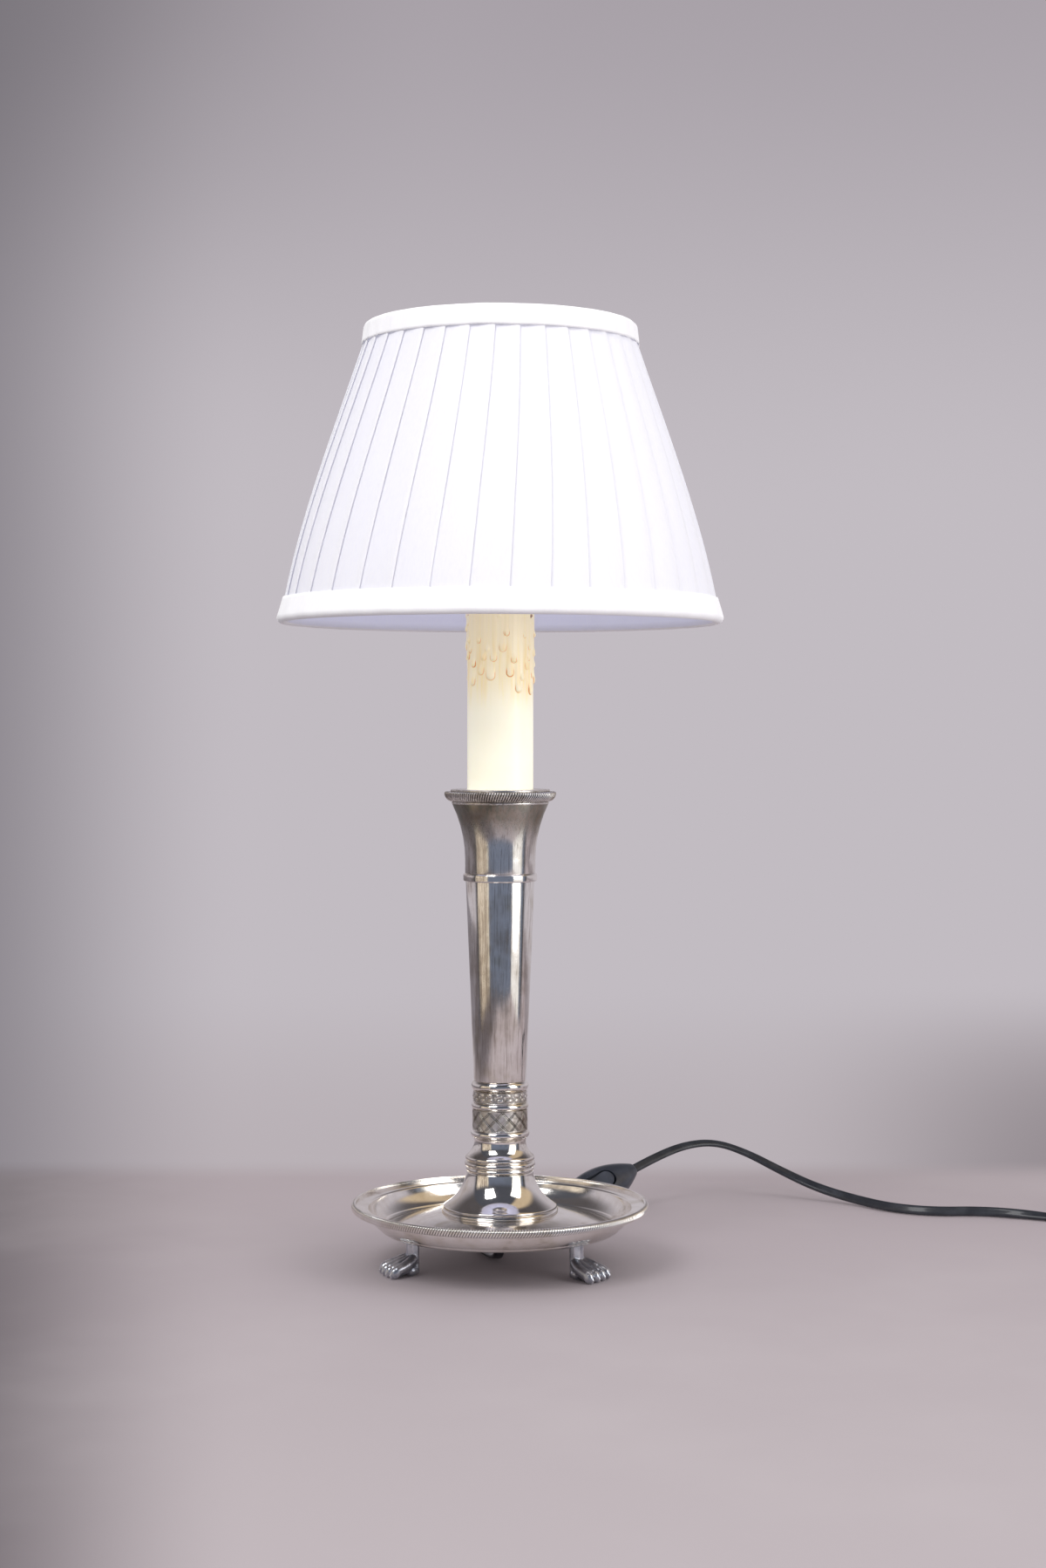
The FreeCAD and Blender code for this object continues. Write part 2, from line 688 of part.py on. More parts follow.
# Plate with three arms: out level from the plate, then down to the foot wire
def make_fitter():
    foot, head = ring_centres()
    plate = ring(fitter_bore, fitter_radius, fitter_bottom, fitter_top)
    level = (fitter_bottom + fitter_top) / 2
    knee = Vector(foot[0] - 24.0, 0, level)
    end = Vector(foot[0] - 2.5, 0, foot[1] + 0.8)
    down = Vector(end - knee).normalize()
    reach = 8.0
    half_turn = down.getAngle(Vector(1, 0, 0)) / 2
    bend = reach / math.tan(half_turn)
    inward = (down - Vector(1, 0, 0)).normalize()
    middle = knee + inward * (bend / math.cos(half_turn) - bend)
    start = Vector(fitter_radius - 2, 0, level)
    path = [
        Part.LineSegment(start, knee - Vector(reach, 0, 0)).toShape(),
        Part.Arc(knee - Vector(reach, 0, 0), middle, knee + down * reach).toShape(),
        Part.LineSegment(knee + down * reach, end).toShape()]
    arm = swept(path, start, Vector(1, 0, 0), arm_radius)
    slot = Part.makeCylinder(arm_radius + 0.4, (end - knee).Length, knee, down)
    slot = slot.fuse(Part.makeCylinder(arm_radius + 0.4, 6, end, down))
    fitter = plate
    slots = []
    for count in range(arm_count):
        turn = FreeCAD.Rotation(Vector(0, 0, 1), 360 / arm_count * count + 90 + foot_turn)
        place = FreeCAD.Placement(Vector(0, 0, 0), turn)
        fitter = fitter.fuse(arm.transformed(place.toMatrix(), True))
        slots.append(slot.transformed(place.toMatrix(), True))
    parts["shade_fitter"] = fitter.removeSplitter()
    return slots


def make_lining(strut_low, strut_high, slots):
    inset = strut_radius + 0.4
    drop = 12.0
    slope = (strut_low[0] - strut_high[0]) / (strut_high[1] - strut_low[1])
    waist = (strut_low[0] - slope * drop - inset, strut_low[1] + drop)
    lining = spun(
        lining_wall,
        (strut_high[0] - inset, strut_high[1]),
        waist,
        ((strut_low[0] - 2.6, strut_low[1] + 4.5), (strut_low[0] - 1.75, strut_low[1] - 0.8)),
        (strut_low[0] - 0.2, strut_low[1] - 2.9))
    parts["shade_lining"] = lining.cut(slots)


def on_wire(centre, angle, distance):
    turn = math.radians(angle)
    return (centre[0] + distance * math.cos(turn), centre[1] + distance * math.sin(turn))


# Angle at which a straight line from the edge touches the wire's wrapping
def touch_angle(centre, edge, distance):
    across, up = edge[0] - centre[0], edge[1] - centre[1]
    spread = math.degrees(math.acos(distance / math.hypot(across, up)))
    direction = math.degrees(math.atan2(up, across))
    return direction - spread if up > 0 else direction + spread


# Cloth bands, wrapped round the frame rings and laid up or down the folds
def make_bands():
    foot, head = ring_centres()
    grip = wire_ring_radius + cloth_gap + band_wall
    edge = (shade_foot_radius - 3.35, shade_foot + band_height)
    touch = touch_angle(foot, edge, grip)
    parts["shade_foot_band"] = spun(
        band_wall, edge, on_wire(foot, touch, grip),
        (on_wire(foot, -80, grip), on_wire(foot, -162, grip)))
    edge = (shade_top_radius + 1.7, shade_top - top_band_height)
    touch = touch_angle(head, edge, grip)
    parts["shade_top_band"] = spun(
        band_wall, on_wire(head, 190, grip),
        (on_wire(head, 90, grip), on_wire(head, touch, grip)), edge)


# ---- In-line switch, in its own frame: X along the lead, Z out of its face ----

# Body with lens-shaped outlines from above, from the side and from halfway
# between the two, smaller all round by the given wall
def switch_body(wall):
    half = rocker_length / 2 + 7.0 if wall else switch_length / 2
    wide, end_wide = switch_width / 2, switch_end_width / 2
    deep, end_deep = switch_thickness / 2, switch_end_thickness / 2
    between = 1.05 * math.hypot(wide, deep) / math.sqrt(2)
    end_between = 1.05 * math.hypot(end_wide, end_deep) / math.sqrt(2)
    outlines = [(wide, end_wide, 0), (deep, end_deep, 90),
                (between, end_between, 45), (between, end_between, -45)]
    prisms = []
    for half_width, half_end, turn in outlines:
        prism = Part.Face(lens(half, half_width - wall, half_end, wall)).extrude(Vector(0, 0, 60))
        prism.translate(Vector(0, 0, -30))
        prism.rotate(Vector(0, 0, 0), Vector(1, 0, 0), turn)
        prisms.append(prism)
    body = prisms[0]
    for prism in prisms[1:]:
        body = body.common(prism)
    return body


# Closed outline between two bows; a wall shortens it and keeps the same bow
def lens(half_length, half_width, half_end, wall):
    if wall:
        full = switch_length / 2
        half_end = half_width - (half_width + wall - half_end) * (half_length / full) ** 2
    left, right = -half_length, half_length
    return Part.Wire([
        Part.Arc(Vector(left, half_end, 0), Vector(0, half_width, 0),
                 Vector(right, half_end, 0)).toShape(),
        Part.LineSegment(Vector(right, half_end, 0), Vector(right, -half_end, 0)).toShape(),
        Part.Arc(Vector(right, -half_end, 0), Vector(0, -half_width, 0),
                 Vector(left, -half_end, 0)).toShape(),
        Part.LineSegment(Vector(left, -half_end, 0), Vector(left, half_end, 0)).toShape()])


# Upright prism with round ends
def slot_prism(length, width, low, high):
    radius = width / 2
    reach = length / 2 - radius
    outline = Part.Wire([
        Part.LineSegment(Vector(-reach, -radius, low), Vector(reach, -radius, low)).toShape(),
        Part.Arc(Vector(reach, -radius, low), Vector(reach + radius, 0, low),
                 Vector(reach, radius, low)).toShape(),
        Part.LineSegment(Vector(reach, radius, low), Vector(-reach, radius, low)).toShape(),
        Part.Arc(Vector(-reach, radius, low), Vector(-reach - radius, 0, low),
                 Vector(-reach, -radius, low)).toShape()])
    return Part.Face(outline).extrude(Vector(0, 0, high - low))


def make_switch():
    half_gap = seam / 2
    outside = switch_body(0)
    hollow = switch_body(switch_wall)
    above = Part.makeBox(100, 60, 40, Vector(-50, -30, half_gap))
    below = Part.makeBox(100, 60, 40, Vector(-50, -30, -40 - half_gap))
    mouth = slot_prism(
        rocker_length + mouth_end_play, rocker_width + mouth_side_play, 0, switch_thickness + 1)
    pivot = rocker_pivot
    screws = []
    holes = []
    for x in (-switch_screw_offset, switch_screw_offset):
        screws.append(post(switch_screw_radius, -4.9, 3.2, x))
        screws[-1] = screws[-1].fuse(post(switch_screw_head, -4.9, -3.3, x))
        holes.append(post(switch_screw_radius + seam, -12, 3.4, x))
        holes.append(post(switch_screw_head + seam, -12, -3.2, x))
    cover = outside.common(above).cut([hollow, mouth] + holes)
    base = outside.common(below).cut([hollow] + holes)
    # two cheeks in the base carry the rocker's pin
    cheeks = []
    for y in (-1, 1):
        inner = rocker_width / 2 + running_gap
        left = min(y * inner, y * (inner + cheek_wall))
        cheeks.append(Part.makeBox(
            cheek_width, cheek_wall, pivot + 2.4 + 8.6, Vector(-cheek_width / 2, left, -8.6)))
    pin_hole = Part.makeCylinder(rocker_pin_radius + 0.1, 40, Vector(0, -20, pivot), Vector(0, 1, 0))
    cheeks = [cheek.cut(pin_hole) for cheek in cheeks]
    base = base.fuse(cheeks)
    cover = cover.cut(pin_hole.common(hollow))
    pin = Part.makeCylinder(
        rocker_pin_radius, rocker_width + 2 * (cheek_wall + seam),
        Vector(0, -rocker_width / 2 - cheek_wall - seam, pivot), Vector(0, 1, 0))
    rocker = slot_prism(rocker_length, rocker_width, rocker_low, rocker_high)
    # the finger dish along the rocker's top, and the pin's hole
    dish_middle = Vector(0, -20, rocker_high + finger_dish - 2.0)
    dish = Part.makeCylinder(finger_dish, 40, dish_middle, Vector(0, 1, 0))
    rocker = rocker.cut([dish, pin_hole])
    rocker.rotate(Vector(0, 0, pivot), Vector(0, 1, 0), -rocker_throw / 2)
    contacts = [
        Part.makeBox(
            contact_length, contact_width, contact_thickness, Vector(x, -contact_width / 2, -7.3))
        for x in (-8.5 - contact_length, 8.5)]
    place = facing(switch_place, switch_axis, switch_face())
    pieces = {
        "switch_cover": cover, "switch_base": base, "switch_rocker": rocker,
        "switch_rocker_pin": pin, "switch_screws": Part.makeCompound(screws),
        "switch_contacts": Part.makeCompound(contacts).common(hollow)}
    for name, shape in pieces.items():
        parts[name] = shape.transformed(place.toMatrix(), True)
    pivot_place = place.multVec(Vector(0, 0, pivot))
    pivot_way = place.Rotation.multVec(Vector(0, 1, 0))
    print("rocker pivot", [round(v, 3) for v in pivot_place], [round(v, 4) for v in pivot_way])


# Direction of the switch's face: up, leaned towards the front
def switch_face():
    along = Vector(switch_axis).normalize()
    up = (Vector(0, 0, 1) - along * along.z).normalize()
    front = along.cross(up)
    if front.y > 0:
        front = front * -1
    roll = math.radians(switch_roll)
    return up * math.cos(roll) + front * math.sin(roll)


# ---- Lead ----

def make_lead(bushing_bottom):
    along = Vector(switch_axis).normalize()
    switch_start = switch_place - along * (switch_length / 2)
    switch_end = switch_place + along * (switch_length / 2)
    touch_down = switch_start - along * ((switch_start.z - cord_rest) / along.z)
    lamp_to_switch = [
        Vector(0, 0, bushing_bottom),
        Vector(0, 0.4, 11.0),
        Vector(-0.8, 4.5, 5.2),
        Vector(-2.8, 13.5, cord_rest),
        Vector(-8.5, 30.0, cord_rest),
        Vector(-16.5, 56.0, cord_rest),
        Vector(-15.5, 84.0, cord_rest),
        Vector(2.0, 106.0, cord_rest),
        touch_down,
        switch_start]
    parts["cord_lamp_to_switch"] = bent_tube("cord_lamp_to_switch", lamp_to_switch, cord_radius)
    coil_start, coil_way, coil_end = make_coil()
    switch_to_coil = [
        switch_end,
        switch_end + along * 20.0,
        Vector(121.5, 203.5, 35.3),
        Vector(142.0, 212.5, 35.8),
        Vector(163.0, 213.5, 28.6),
        Vector(185.0, 206.5, 17.8),
        Vector(207.0, 196.5, 8.6),
        Vector(230.0, 181.5, cord_rest),
        Vector(251.0, 154.0, cord_rest),
        Vector(276.0, 142.5, cord_rest),
        Vector(304.0, 144.0, cord_rest),
        Vector(330.0, 134.0, cord_rest),
        coil_start - coil_way * 31.0,
        coil_start]
    parts["cord_switch_to_coil"] = bent_tube("cord_switch_to_coil", switch_to_coil, cord_radius)
    make_plug(coil_end)


# Place of the coil, and the way the lead runs into it
coil_entry = Vector(388.0, 110.0, cord_rest)
coil_heading = -21.5


def make_coil():
    fall = coil_step / (2 * math.pi)
    tilt = math.degrees(math.atan(fall / coil_outer_radius))
    first = coil_heading - 90 - tilt
    centre = coil_entry - polar(coil_outer_radius, first)
    inner_radius = coil_outer_radius - coil_step * coil_turns_in
    turns_out = coil_turns_in + (360 - (first + 360)) / 360
    all_turns = coil_turns_in + turns_out
    end_radius = inner_radius + coil_step * turns_out

    # position and direction after a number of turns
    def place(turns):
        inwards = turns < coil_turns_in
        if inwards:
            radius = coil_outer_radius - coil_step * turns
        else:
            radius = inner_radius + coil_step * (turns - coil_turns_in)
        slope = -fall if inwards else fall
        if abs(turns - coil_turns_in) < 1e-6:
            slope = 0
        climbed = min(max((turns - coil_turns_in) * 2 + 0.5, 0), 1)
        height = coil_layer * climbed ** 2 * (3 - 2 * climbed)
        climb = coil_layer * 6 * climbed * (1 - climbed) * 2 / (2 * math.pi)
        angle = first + 360 * turns
        out, round_way = polar(1, angle), polar(1, angle + 90)
        way = (round_way * radius + out * slope + Vector(0, 0, climb)).normalize()
        return centre + polar(radius, angle, height), way

    stops = [quarter / 4 for quarter in range(int(all_turns * 4) + 1)]
    if all_turns - stops[-1] < 0.05:
        stops.pop()
    stops.append(all_turns)
    edges = []
    for before, after in zip(stops, stops[1:]):
        start, start_way = place(before)
        end, end_way = place(after)
        edges += biarc(start, start_way, end, end_way)
    start, start_way = place(0)
    coil = Part.Wire(edges).makePipeShell(
        [Part.Wire(Part.makeCircle(cord_radius, start, start_way))], True, False)
    parts["cord_coil"] = coil
    length = sum(edge.Length for edge in edges)
    report_tube("cord_coil", coil, length, cord_radius)
    samples = 60
    points = [place(all_turns * step / (samples * 5))[0] for step in range(samples * 5 + 1)]
    apart = samples // 2
    gap = min(
        (points[i] - points[j]).Length
        for i in range(len(points)) for j in range(i + apart, len(points)))
    print("cord_coil turns", round(all_turns, 3), "least gap to itself", round(gap - 2 * cord_radius, 2))
    print("cord_coil middle", [round(v, 2) for v in centre], "end radius", round(end_radius, 2))
    return start, start_way, place(all_turns)[0]


# Plug beside the coil, pointing along +Y, with its tapered strain relief
def make_plug(coil_end):
    tail = [
        coil_end,
        coil_end + Vector(0.0, 14.0, 0.0),
        Vector(coil_end.x + 1.0, coil_end.y + 31.0, plug_thickness / 2),
        Vector(coil_end.x + 1.0, coil_end.y + 46.0, plug_thickness / 2)]
    parts["cord_coil_to_plug"] = bent_tube("cord_coil_to_plug", tail, cord_radius)
    start = tail[-1] + Vector(0, seam, 0)
    place = facing(start, Vector(0, 1, 0), Vector(0, 0, 1))
    ribs = []
    pitch = relief_length / 6
    for count in range(6):
        radius = cord_radius + 0.7 + 0.28 * count
        ribs.append((radius, count * pitch + 0.2))
        ribs.append((radius + 0.15, (count + 0.62) * pitch))
        ribs.append((radius - 0.6, (count + 0.7) * pitch))
        ribs.append((radius - 0.6, (count + 0.95) * pitch))
    relief = turned((0, 0), (ribs[0][0], 0), *ribs, (5.6, relief_length), (0, relief_length))
    relief.rotate(Vector(0, 0, 0), Vector(0, 1, 0), 90)
    stations = [(0, 6.2, 5.0, 3.0), (9, 8.6, 6.2, 3.4), (20, 13.0, 6.8, 3.8),
                (plug_length, 13.0, 6.8, 3.8)]
    scale = plug_width / 26.0
    sections = [round_box(relief_length + seam + x, half * scale, min(height, plug_thickness / 2), r)
                for x, half, height, r in stations]
    body = Part.makeLoft(sections, True, True)
    front = relief_length + seam + plug_length
    pins = []
    for y in (-pin_spacing / 2, pin_spacing / 2):
        pin = Part.makeCylinder(pin_radius, pin_length - 1.2, Vector(front, y, 0), Vector(1, 0, 0))
        nose = Part.makeCone(
            pin_radius, pin_radius - 0.9, 1.2, Vector(front + pin_length - 1.2, y, 0), Vector(1, 0, 0))
        pins.append(pin.fuse(nose))
    pieces = {"plug_relief": relief, "plug_body": body, "plug_pins": Part.makeCompound(pins)}
    for name, shape in pieces.items():
        parts[name] = shape.transformed(place.toMatrix(), True)


# Rounded rectangle across the X axis
def round_box(x, half_width, half_height, radius):
    edges = []
    corners = [(1, 1), (-1, 1), (-1, -1), (1, -1)]
    middle = radius * (1 - math.sqrt(0.5))
    for (side, top), (next_side, next_top) in zip(corners, corners[1:] + corners[:1]):
        y, z = side * half_width, top * half_height
        if side == top:
            start, end = Vector(x, y, z - top * radius), Vector(x, y - side * radius, z)
        else:
            start, end = Vector(x, y - side * radius, z), Vector(x, y, z - top * radius)
        edges.append(Part.Arc(start, Vector(x, y - side * middle, z - top * middle), end).toShape())
        next_y, next_z = next_side * half_width, next_top * half_height
        if next_side == next_top:
            landing = Vector(x, next_y, next_z - next_top * radius)
        else:
            landing = Vector(x, next_y - next_side * radius, next_z)
        edges.append(Part.LineSegment(end, landing).toShape())
    return Part.Wire(edges)


make_tray()
make_feet()
lead_exit = make_rod()
make_column()
make_nozzle()
make_sleeve()
make_holder()
make_bulb()
make_cover()
strut_foot, strut_head = make_frame()
arm_slots = make_fitter()
make_lining(strut_foot, strut_head, arm_slots)
make_bands()
make_switch()
make_lead(lead_exit)

os.makedirs("parts", exist_ok=True)
for name, shape in parts.items():
    if not shape.isValid():
        print("not valid:", name)
    shape.exportStep(os.path.join("parts", name + ".step"))
print(len(parts), "nodes")
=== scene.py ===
import bisect
import bmesh
import bpy
import json
import math
import random
from mathutils import Matrix, Vector, noise


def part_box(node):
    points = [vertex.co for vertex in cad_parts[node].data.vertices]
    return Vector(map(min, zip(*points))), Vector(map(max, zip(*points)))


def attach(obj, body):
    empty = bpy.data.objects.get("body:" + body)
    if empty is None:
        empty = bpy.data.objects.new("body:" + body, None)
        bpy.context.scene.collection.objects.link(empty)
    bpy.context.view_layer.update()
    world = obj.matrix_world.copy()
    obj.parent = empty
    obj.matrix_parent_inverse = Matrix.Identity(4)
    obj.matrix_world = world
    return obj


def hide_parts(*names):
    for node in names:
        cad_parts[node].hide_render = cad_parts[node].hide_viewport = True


# Looks of the candlestick lamp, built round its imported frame. Metres, +Z up;
# the front of the lamp is -Y, and angles round its axis run from +X to +Y.

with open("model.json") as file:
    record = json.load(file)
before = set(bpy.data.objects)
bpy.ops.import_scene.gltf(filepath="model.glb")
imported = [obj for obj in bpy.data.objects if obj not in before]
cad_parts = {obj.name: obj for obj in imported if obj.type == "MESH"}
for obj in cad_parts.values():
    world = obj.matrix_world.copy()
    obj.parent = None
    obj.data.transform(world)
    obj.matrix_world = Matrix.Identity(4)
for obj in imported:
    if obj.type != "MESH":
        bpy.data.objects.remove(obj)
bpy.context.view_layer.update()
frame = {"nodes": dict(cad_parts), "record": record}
nodes = frame["nodes"]
mm = 0.001
print("frame loaded:", len(nodes), "nodes")


camera = {
    "place": (0, -1.4118, 0.3085), "yaw": -0.0092, "pitch": -0.0223, "roll": -0.001,
    "lens": 56.67, "sensor": 36,
}


def addObject(name, data):
    made = bpy.data.objects.new(name, data)
    bpy.context.scene.collection.objects.link(made)
    return made


def makeCamera():
    data = bpy.data.cameras.new("camera")
    data.lens, data.sensor_width = camera["lens"], camera["sensor"]
    eye = addObject("camera", data)
    eye.location = camera["place"]
    eye.rotation_euler = (math.pi / 2 + camera["pitch"], camera["roll"], camera["yaw"])
    bpy.context.scene.camera = eye
    bpy.context.scene.view_settings.view_transform = "Standard"
    bpy.context.view_layer.update()


makeCamera()
print("camera placed")


# crease is the angle in degrees past which an edge stays sharp, and mend
# turns every face outwards
def addMesh(name, points, faces, material, crease=35, mend=False):
    mesh = bpy.data.meshes.new(name)
    mesh.from_pydata(points, [], faces)
    if mend:
        work = bmesh.new()
        work.from_mesh(mesh)
        bmesh.ops.recalc_face_normals(work, faces=work.faces)
        work.to_mesh(mesh)
        work.free()
    mesh.shade_smooth()
    mesh.set_sharp_from_angle(angle=math.radians(crease))
    mesh.materials.append(material)
    return addObject(name, mesh)


def applyModifiers(piece):
    bpy.context.view_layer.update()
    seen = piece.evaluated_get(bpy.context.evaluated_depsgraph_get())
    made = bpy.data.meshes.new_from_object(seen)
    piece.modifiers.clear()
    piece.data = made
    return piece


# puts a piece on the body that it rides on and hides the CAD nodes that it stands for; its slot, the finish,
# is not used
def seat(piece, body, slot, *replaced):
    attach(piece, body)
    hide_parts(*replaced)


# points of the arc from start through middle to end, start left out
def arcPoints(start, middle, end, stepDegrees=5):
    (ax, ay), (bx, by), (cx, cy) = start, middle, end
    d = 2 * (ax * (by - cy) + bx * (cy - ay) + cx * (ay - by))
    a2, b2, c2 = ax * ax + ay * ay, bx * bx + by * by, cx * cx + cy * cy
    ux = (a2 * (by - cy) + b2 * (cy - ay) + c2 * (ay - by)) / d
    uy = (a2 * (cx - bx) + b2 * (ax - cx) + c2 * (bx - ax)) / d
    radius = math.hypot(ax - ux, ay - uy)
    first = math.atan2(ay - uy, ax - ux)
    last = math.atan2(cy - uy, cx - ux)
    turn = (last - first) % (2 * math.pi)
    if (math.atan2(by - uy, bx - ux) - first) % (2 * math.pi) > turn:
        turn -= 2 * math.pi
    count = max(4, math.ceil(abs(turn) / math.radians(stepDegrees)))
    return [(ux + radius * math.cos(first + turn * i / count),
             uy + radius * math.sin(first + turn * i / count)) for i in range(1, count + 1)]


# an outline's points; a pair of pairs in it is an arc's middle and end
def flatOutline(outline):
    points = [outline[0]]
    for part in outline[1:]:
        points += arcPoints(points[-1], *part) if isinstance(part[0], tuple) else [part]
    return points


# corners of a closed outline eased with a small round
def easedOutline(points, radius):
    eased = []
    for i, here in enumerate(points):
        before, after = Vector(points[i - 1]), Vector(points[(i + 1) % len(points)])
        here = Vector(here)
        back, on = before - here, after - here
        sharp = math.pi - back.angle(on, math.pi) > 0.45
        reach = min(radius, back.length * 0.4, on.length * 0.4)
        if sharp and reach > 0.02:
            start, end = here + back.normalized() * reach, here + on.normalized() * reach
            eased += [tuple(start), tuple(here * 0.5 + (start + end) * 0.25), tuple(end)]
        else:
            eased.append(tuple(here))
    return eased


# the far side of a wall of even thickness, to the right of the outline's way
def offsetOutline(points, wall):
    moved = []
    for i, here in enumerate(points):
        before, after = Vector(points[max(i - 1, 0)]), Vector(points[min(i + 1, len(points) - 1)])
        way = (after - before).normalized()
        moved.append((here[0] + way.y * wall, here[1] - way.x * wall))
    return moved


# faces between rows of points that each close on themselves; the last row
# joins the first where closed says so
def gridFaces(rows, size, closed=False):
    faces = []
    for row in range(rows if closed else rows - 1):
        here, there = row * size, (row + 1) % rows * size
        for i in range(size):
            j = (i + 1) % size
            faces.append((here + i, here + j, there + j, there + i))
    return faces


# Closed outline (radius, height in mm) turned about the lamp's axis. The
# relief gives how far a point stands out or in, from its angle and place.
def turned(name, outline, around=240, ease=0.25, relief=None, material=None, crease=35):
    ring = easedOutline(flatOutline(outline), ease)
    points, cuts = [], []
    for step in range(around):
        angle = 2 * math.pi * step / around
        cos, sin = math.cos(angle), math.sin(angle)
        for radius, height in ring:
            cut = -relief(angle, radius, height) if relief else 0
            points.append(((radius - cut) * cos * mm, (radius - cut) * sin * mm, height * mm))
            cuts.append(cut)
    piece = addMesh(name, points, gridFaces(around, len(ring), True), material, crease, mend=True)
    if relief:
        depth = piece.data.attributes.new("cut", "FLOAT", "POINT")
        depth.data.foreach_set("value", cuts)
    return piece


# sheet of cloth over rows of points that run round the axis
def roundSheet(name, rows, wall, material):
    points = [point for row in rows for point in row]
    piece = addMesh(name, points, gridFaces(len(rows), len(rows[0])), material, 60)
    thick = piece.modifiers.new("cloth", "SOLIDIFY")
    thick.thickness = wall * mm
    thick.offset = 0
    applyModifiers(piece)
    piece.data.shade_smooth()
    return piece


# a power that keeps the sign, which squares up a circle's cosine and sine
def squared(value, power):
    return math.copysign(abs(value) ** power, value)


cords = {
    "width": 6.0, "thickness": 3.2, "sides": 28, "square": (0.8, 0.85), "waist": (0.13, 0.22),
    # how far the lead has rolled over, in degrees, by the share of its length
    "firstRolls": [(0, 0), (0.75, 0), (1, 38)], "firstLean": 2, "leanLength": 0.03,
    "secondRolls": [(0, 38), (0.05, 25), (0.12, 60), (0.17, 74), (0.2, 24), (0.215, 0), (1, 0)],
    # routes in metres, as in the part's source but for some of the heights,
    # because the flat lead is thinner than the part's tubes
    "lampToSwitch": [
        (0, 0, 0.0185), (0, 0.0004, 0.011), (-0.0008, 0.0045, 0.0052), (-0.0028, 0.0135, 0.0024),
        (-0.0085, 0.030, 0.0021), (-0.0165, 0.056, 0.0021), (-0.0155, 0.084, 0.0021),
        (0.002, 0.106, 0.0023), (0.02972, 0.12662, 0.0032), (0.03688, 0.1329, 0.00586)],
    "switchToCoil": [
        (0.08612, 0.1761, 0.02414), (0.1006, 0.18881, 0.02952), (0.1215, 0.2035, 0.0353),
        (0.142, 0.2125, 0.0358), (0.163, 0.2135, 0.0286), (0.185, 0.2065, 0.0178),
        (0.207, 0.1965, 0.0086), (0.23, 0.1815, 0.0036), (0.251, 0.154, 0.0032),
        (0.276, 0.1425, 0.0032), (0.304, 0.144, 0.0033), (0.33, 0.134, 0.0033)],
    "coilMiddle": (0.40494, 0.15006), "coilOuter": 0.0435, "coilStep": 0.0068,
    "coilTurnsIn": 2.5, "coilTurns": 5.314, "coilFirstAngle": -21.5 - 90 - 1.425,
    "coilHeading": -21.5, "coilRest": 0.0022, "coilLayer": 0.0042, "perTurn": 14,
    "coilEntry": 0.031, "coilLeave": 0.014, "plugRun": 0.015, "plugEnd": (0.45157, 0.19616, 0.0068),
}


# turns that wind in on the table and out again on top of themselves
def coilPoints():
    c = cords
    middle = Vector((*c["coilMiddle"], 0))
    points = []
    count = round(c["coilTurns"] * c["perTurn"])
    for i in range(count + 1):
        turns = c["coilTurns"] * i / count
        drawn = min(turns, 2 * c["coilTurnsIn"] - turns)
        radius = c["coilOuter"] - c["coilStep"] * drawn
        climbed = min(max((turns - c["coilTurnsIn"]) * 2 + 0.5, 0), 1)
        height = c["coilRest"] + c["coilLayer"] * climbed ** 2 * (3 - 2 * climbed)
        angle = math.radians(c["coilFirstAngle"]) + 2 * math.pi * turns
        # control points stand a little outside the turns that they draw
        radius /= math.cos(math.pi / c["perTurn"]) ** 0.5
        points.append(middle + Vector((radius * math.cos(angle), radius * math.sin(angle), height)))
    return points


# the smooth line that a cord's control points draw
def cordLine(points, fineness=10):
    data = bpy.data.curves.new("line", "CURVE")
    data.dimensions = "3D"
    data.resolution_u = fineness
    spline = data.splines.new("NURBS")
    spline.points.add(len(points) - 1)
    for slot, point in zip(spline.points, points):
        slot.co = (*point, 1)
    spline.order_u = 3
    spline.use_endpoint_u = True
    holder = addObject("line", data)
    bpy.context.view_layer.update()
    mesh = bpy.data.meshes.new_from_object(holder)
    line = [vertex.co.copy() for vertex in mesh.vertices]
    bpy.data.objects.remove(holder)
    return line


# smooth value between stops of (share, value)
def between(stops, share):
    after = min(max(bisect.bisect([stop[0] for stop in stops], share), 1), len(stops) - 1)
    (low, first), (high, last) = stops[after - 1], stops[after]
    t = min(max((share - low) / (high - low), 0), 1)
    return first + (last - first) * t * t * (3 - 2 * t)


# flat twin lead along a line: two round cores under one smooth skin
def flatCord(name, line, rolls, lean, material):
    lengths = [0]
    for before, after in zip(line, line[1:]):
        lengths.append(lengths[-1] + (after - before).length)
    half, thin, sides = cords["width"] / 2 * mm, cords["thickness"] / 2 * mm, cords["sides"]
    (powerAcross, powerUp), (depth, reach) = cords["square"], cords["waist"]
    section = []
    for side in range(sides):
        angle = 2 * math.pi * side / sides
        cos, sin = math.cos(angle), math.sin(angle)
        waist = 1 - depth * math.exp(-(cos / reach) ** 2)
        section.append((half * squared(cos, powerAcross), thin * waist * squared(sin, powerUp)))
    points = []
    for i, here in enumerate(line):
        way = (line[min(i + 1, len(line) - 1)] - line[max(i - 1, 0)]).normalized()
        up = Vector((0, max(0, 1 - lengths[i] / cords["leanLength"]) * lean, 1))
        up = (up - way * up.dot(way)).normalized()
        up.rotate(Matrix.Rotation(math.radians(between(rolls, lengths[i] / lengths[-1])), 3, way))
        side = way.cross(up)
        points += [here + side * across + up * high for across, high in section]
    faces = [tuple(range(sides - 1, -1, -1))] + gridFaces(len(line), sides)
    faces.append(tuple(range((len(line) - 1) * sides, len(line) * sides)))
    return addMesh(name, [tuple(p) for p in points], faces, material, 50, mend=True)


def pathLength(line):
    return sum((b - a).length for a, b in zip(line, line[1:]))


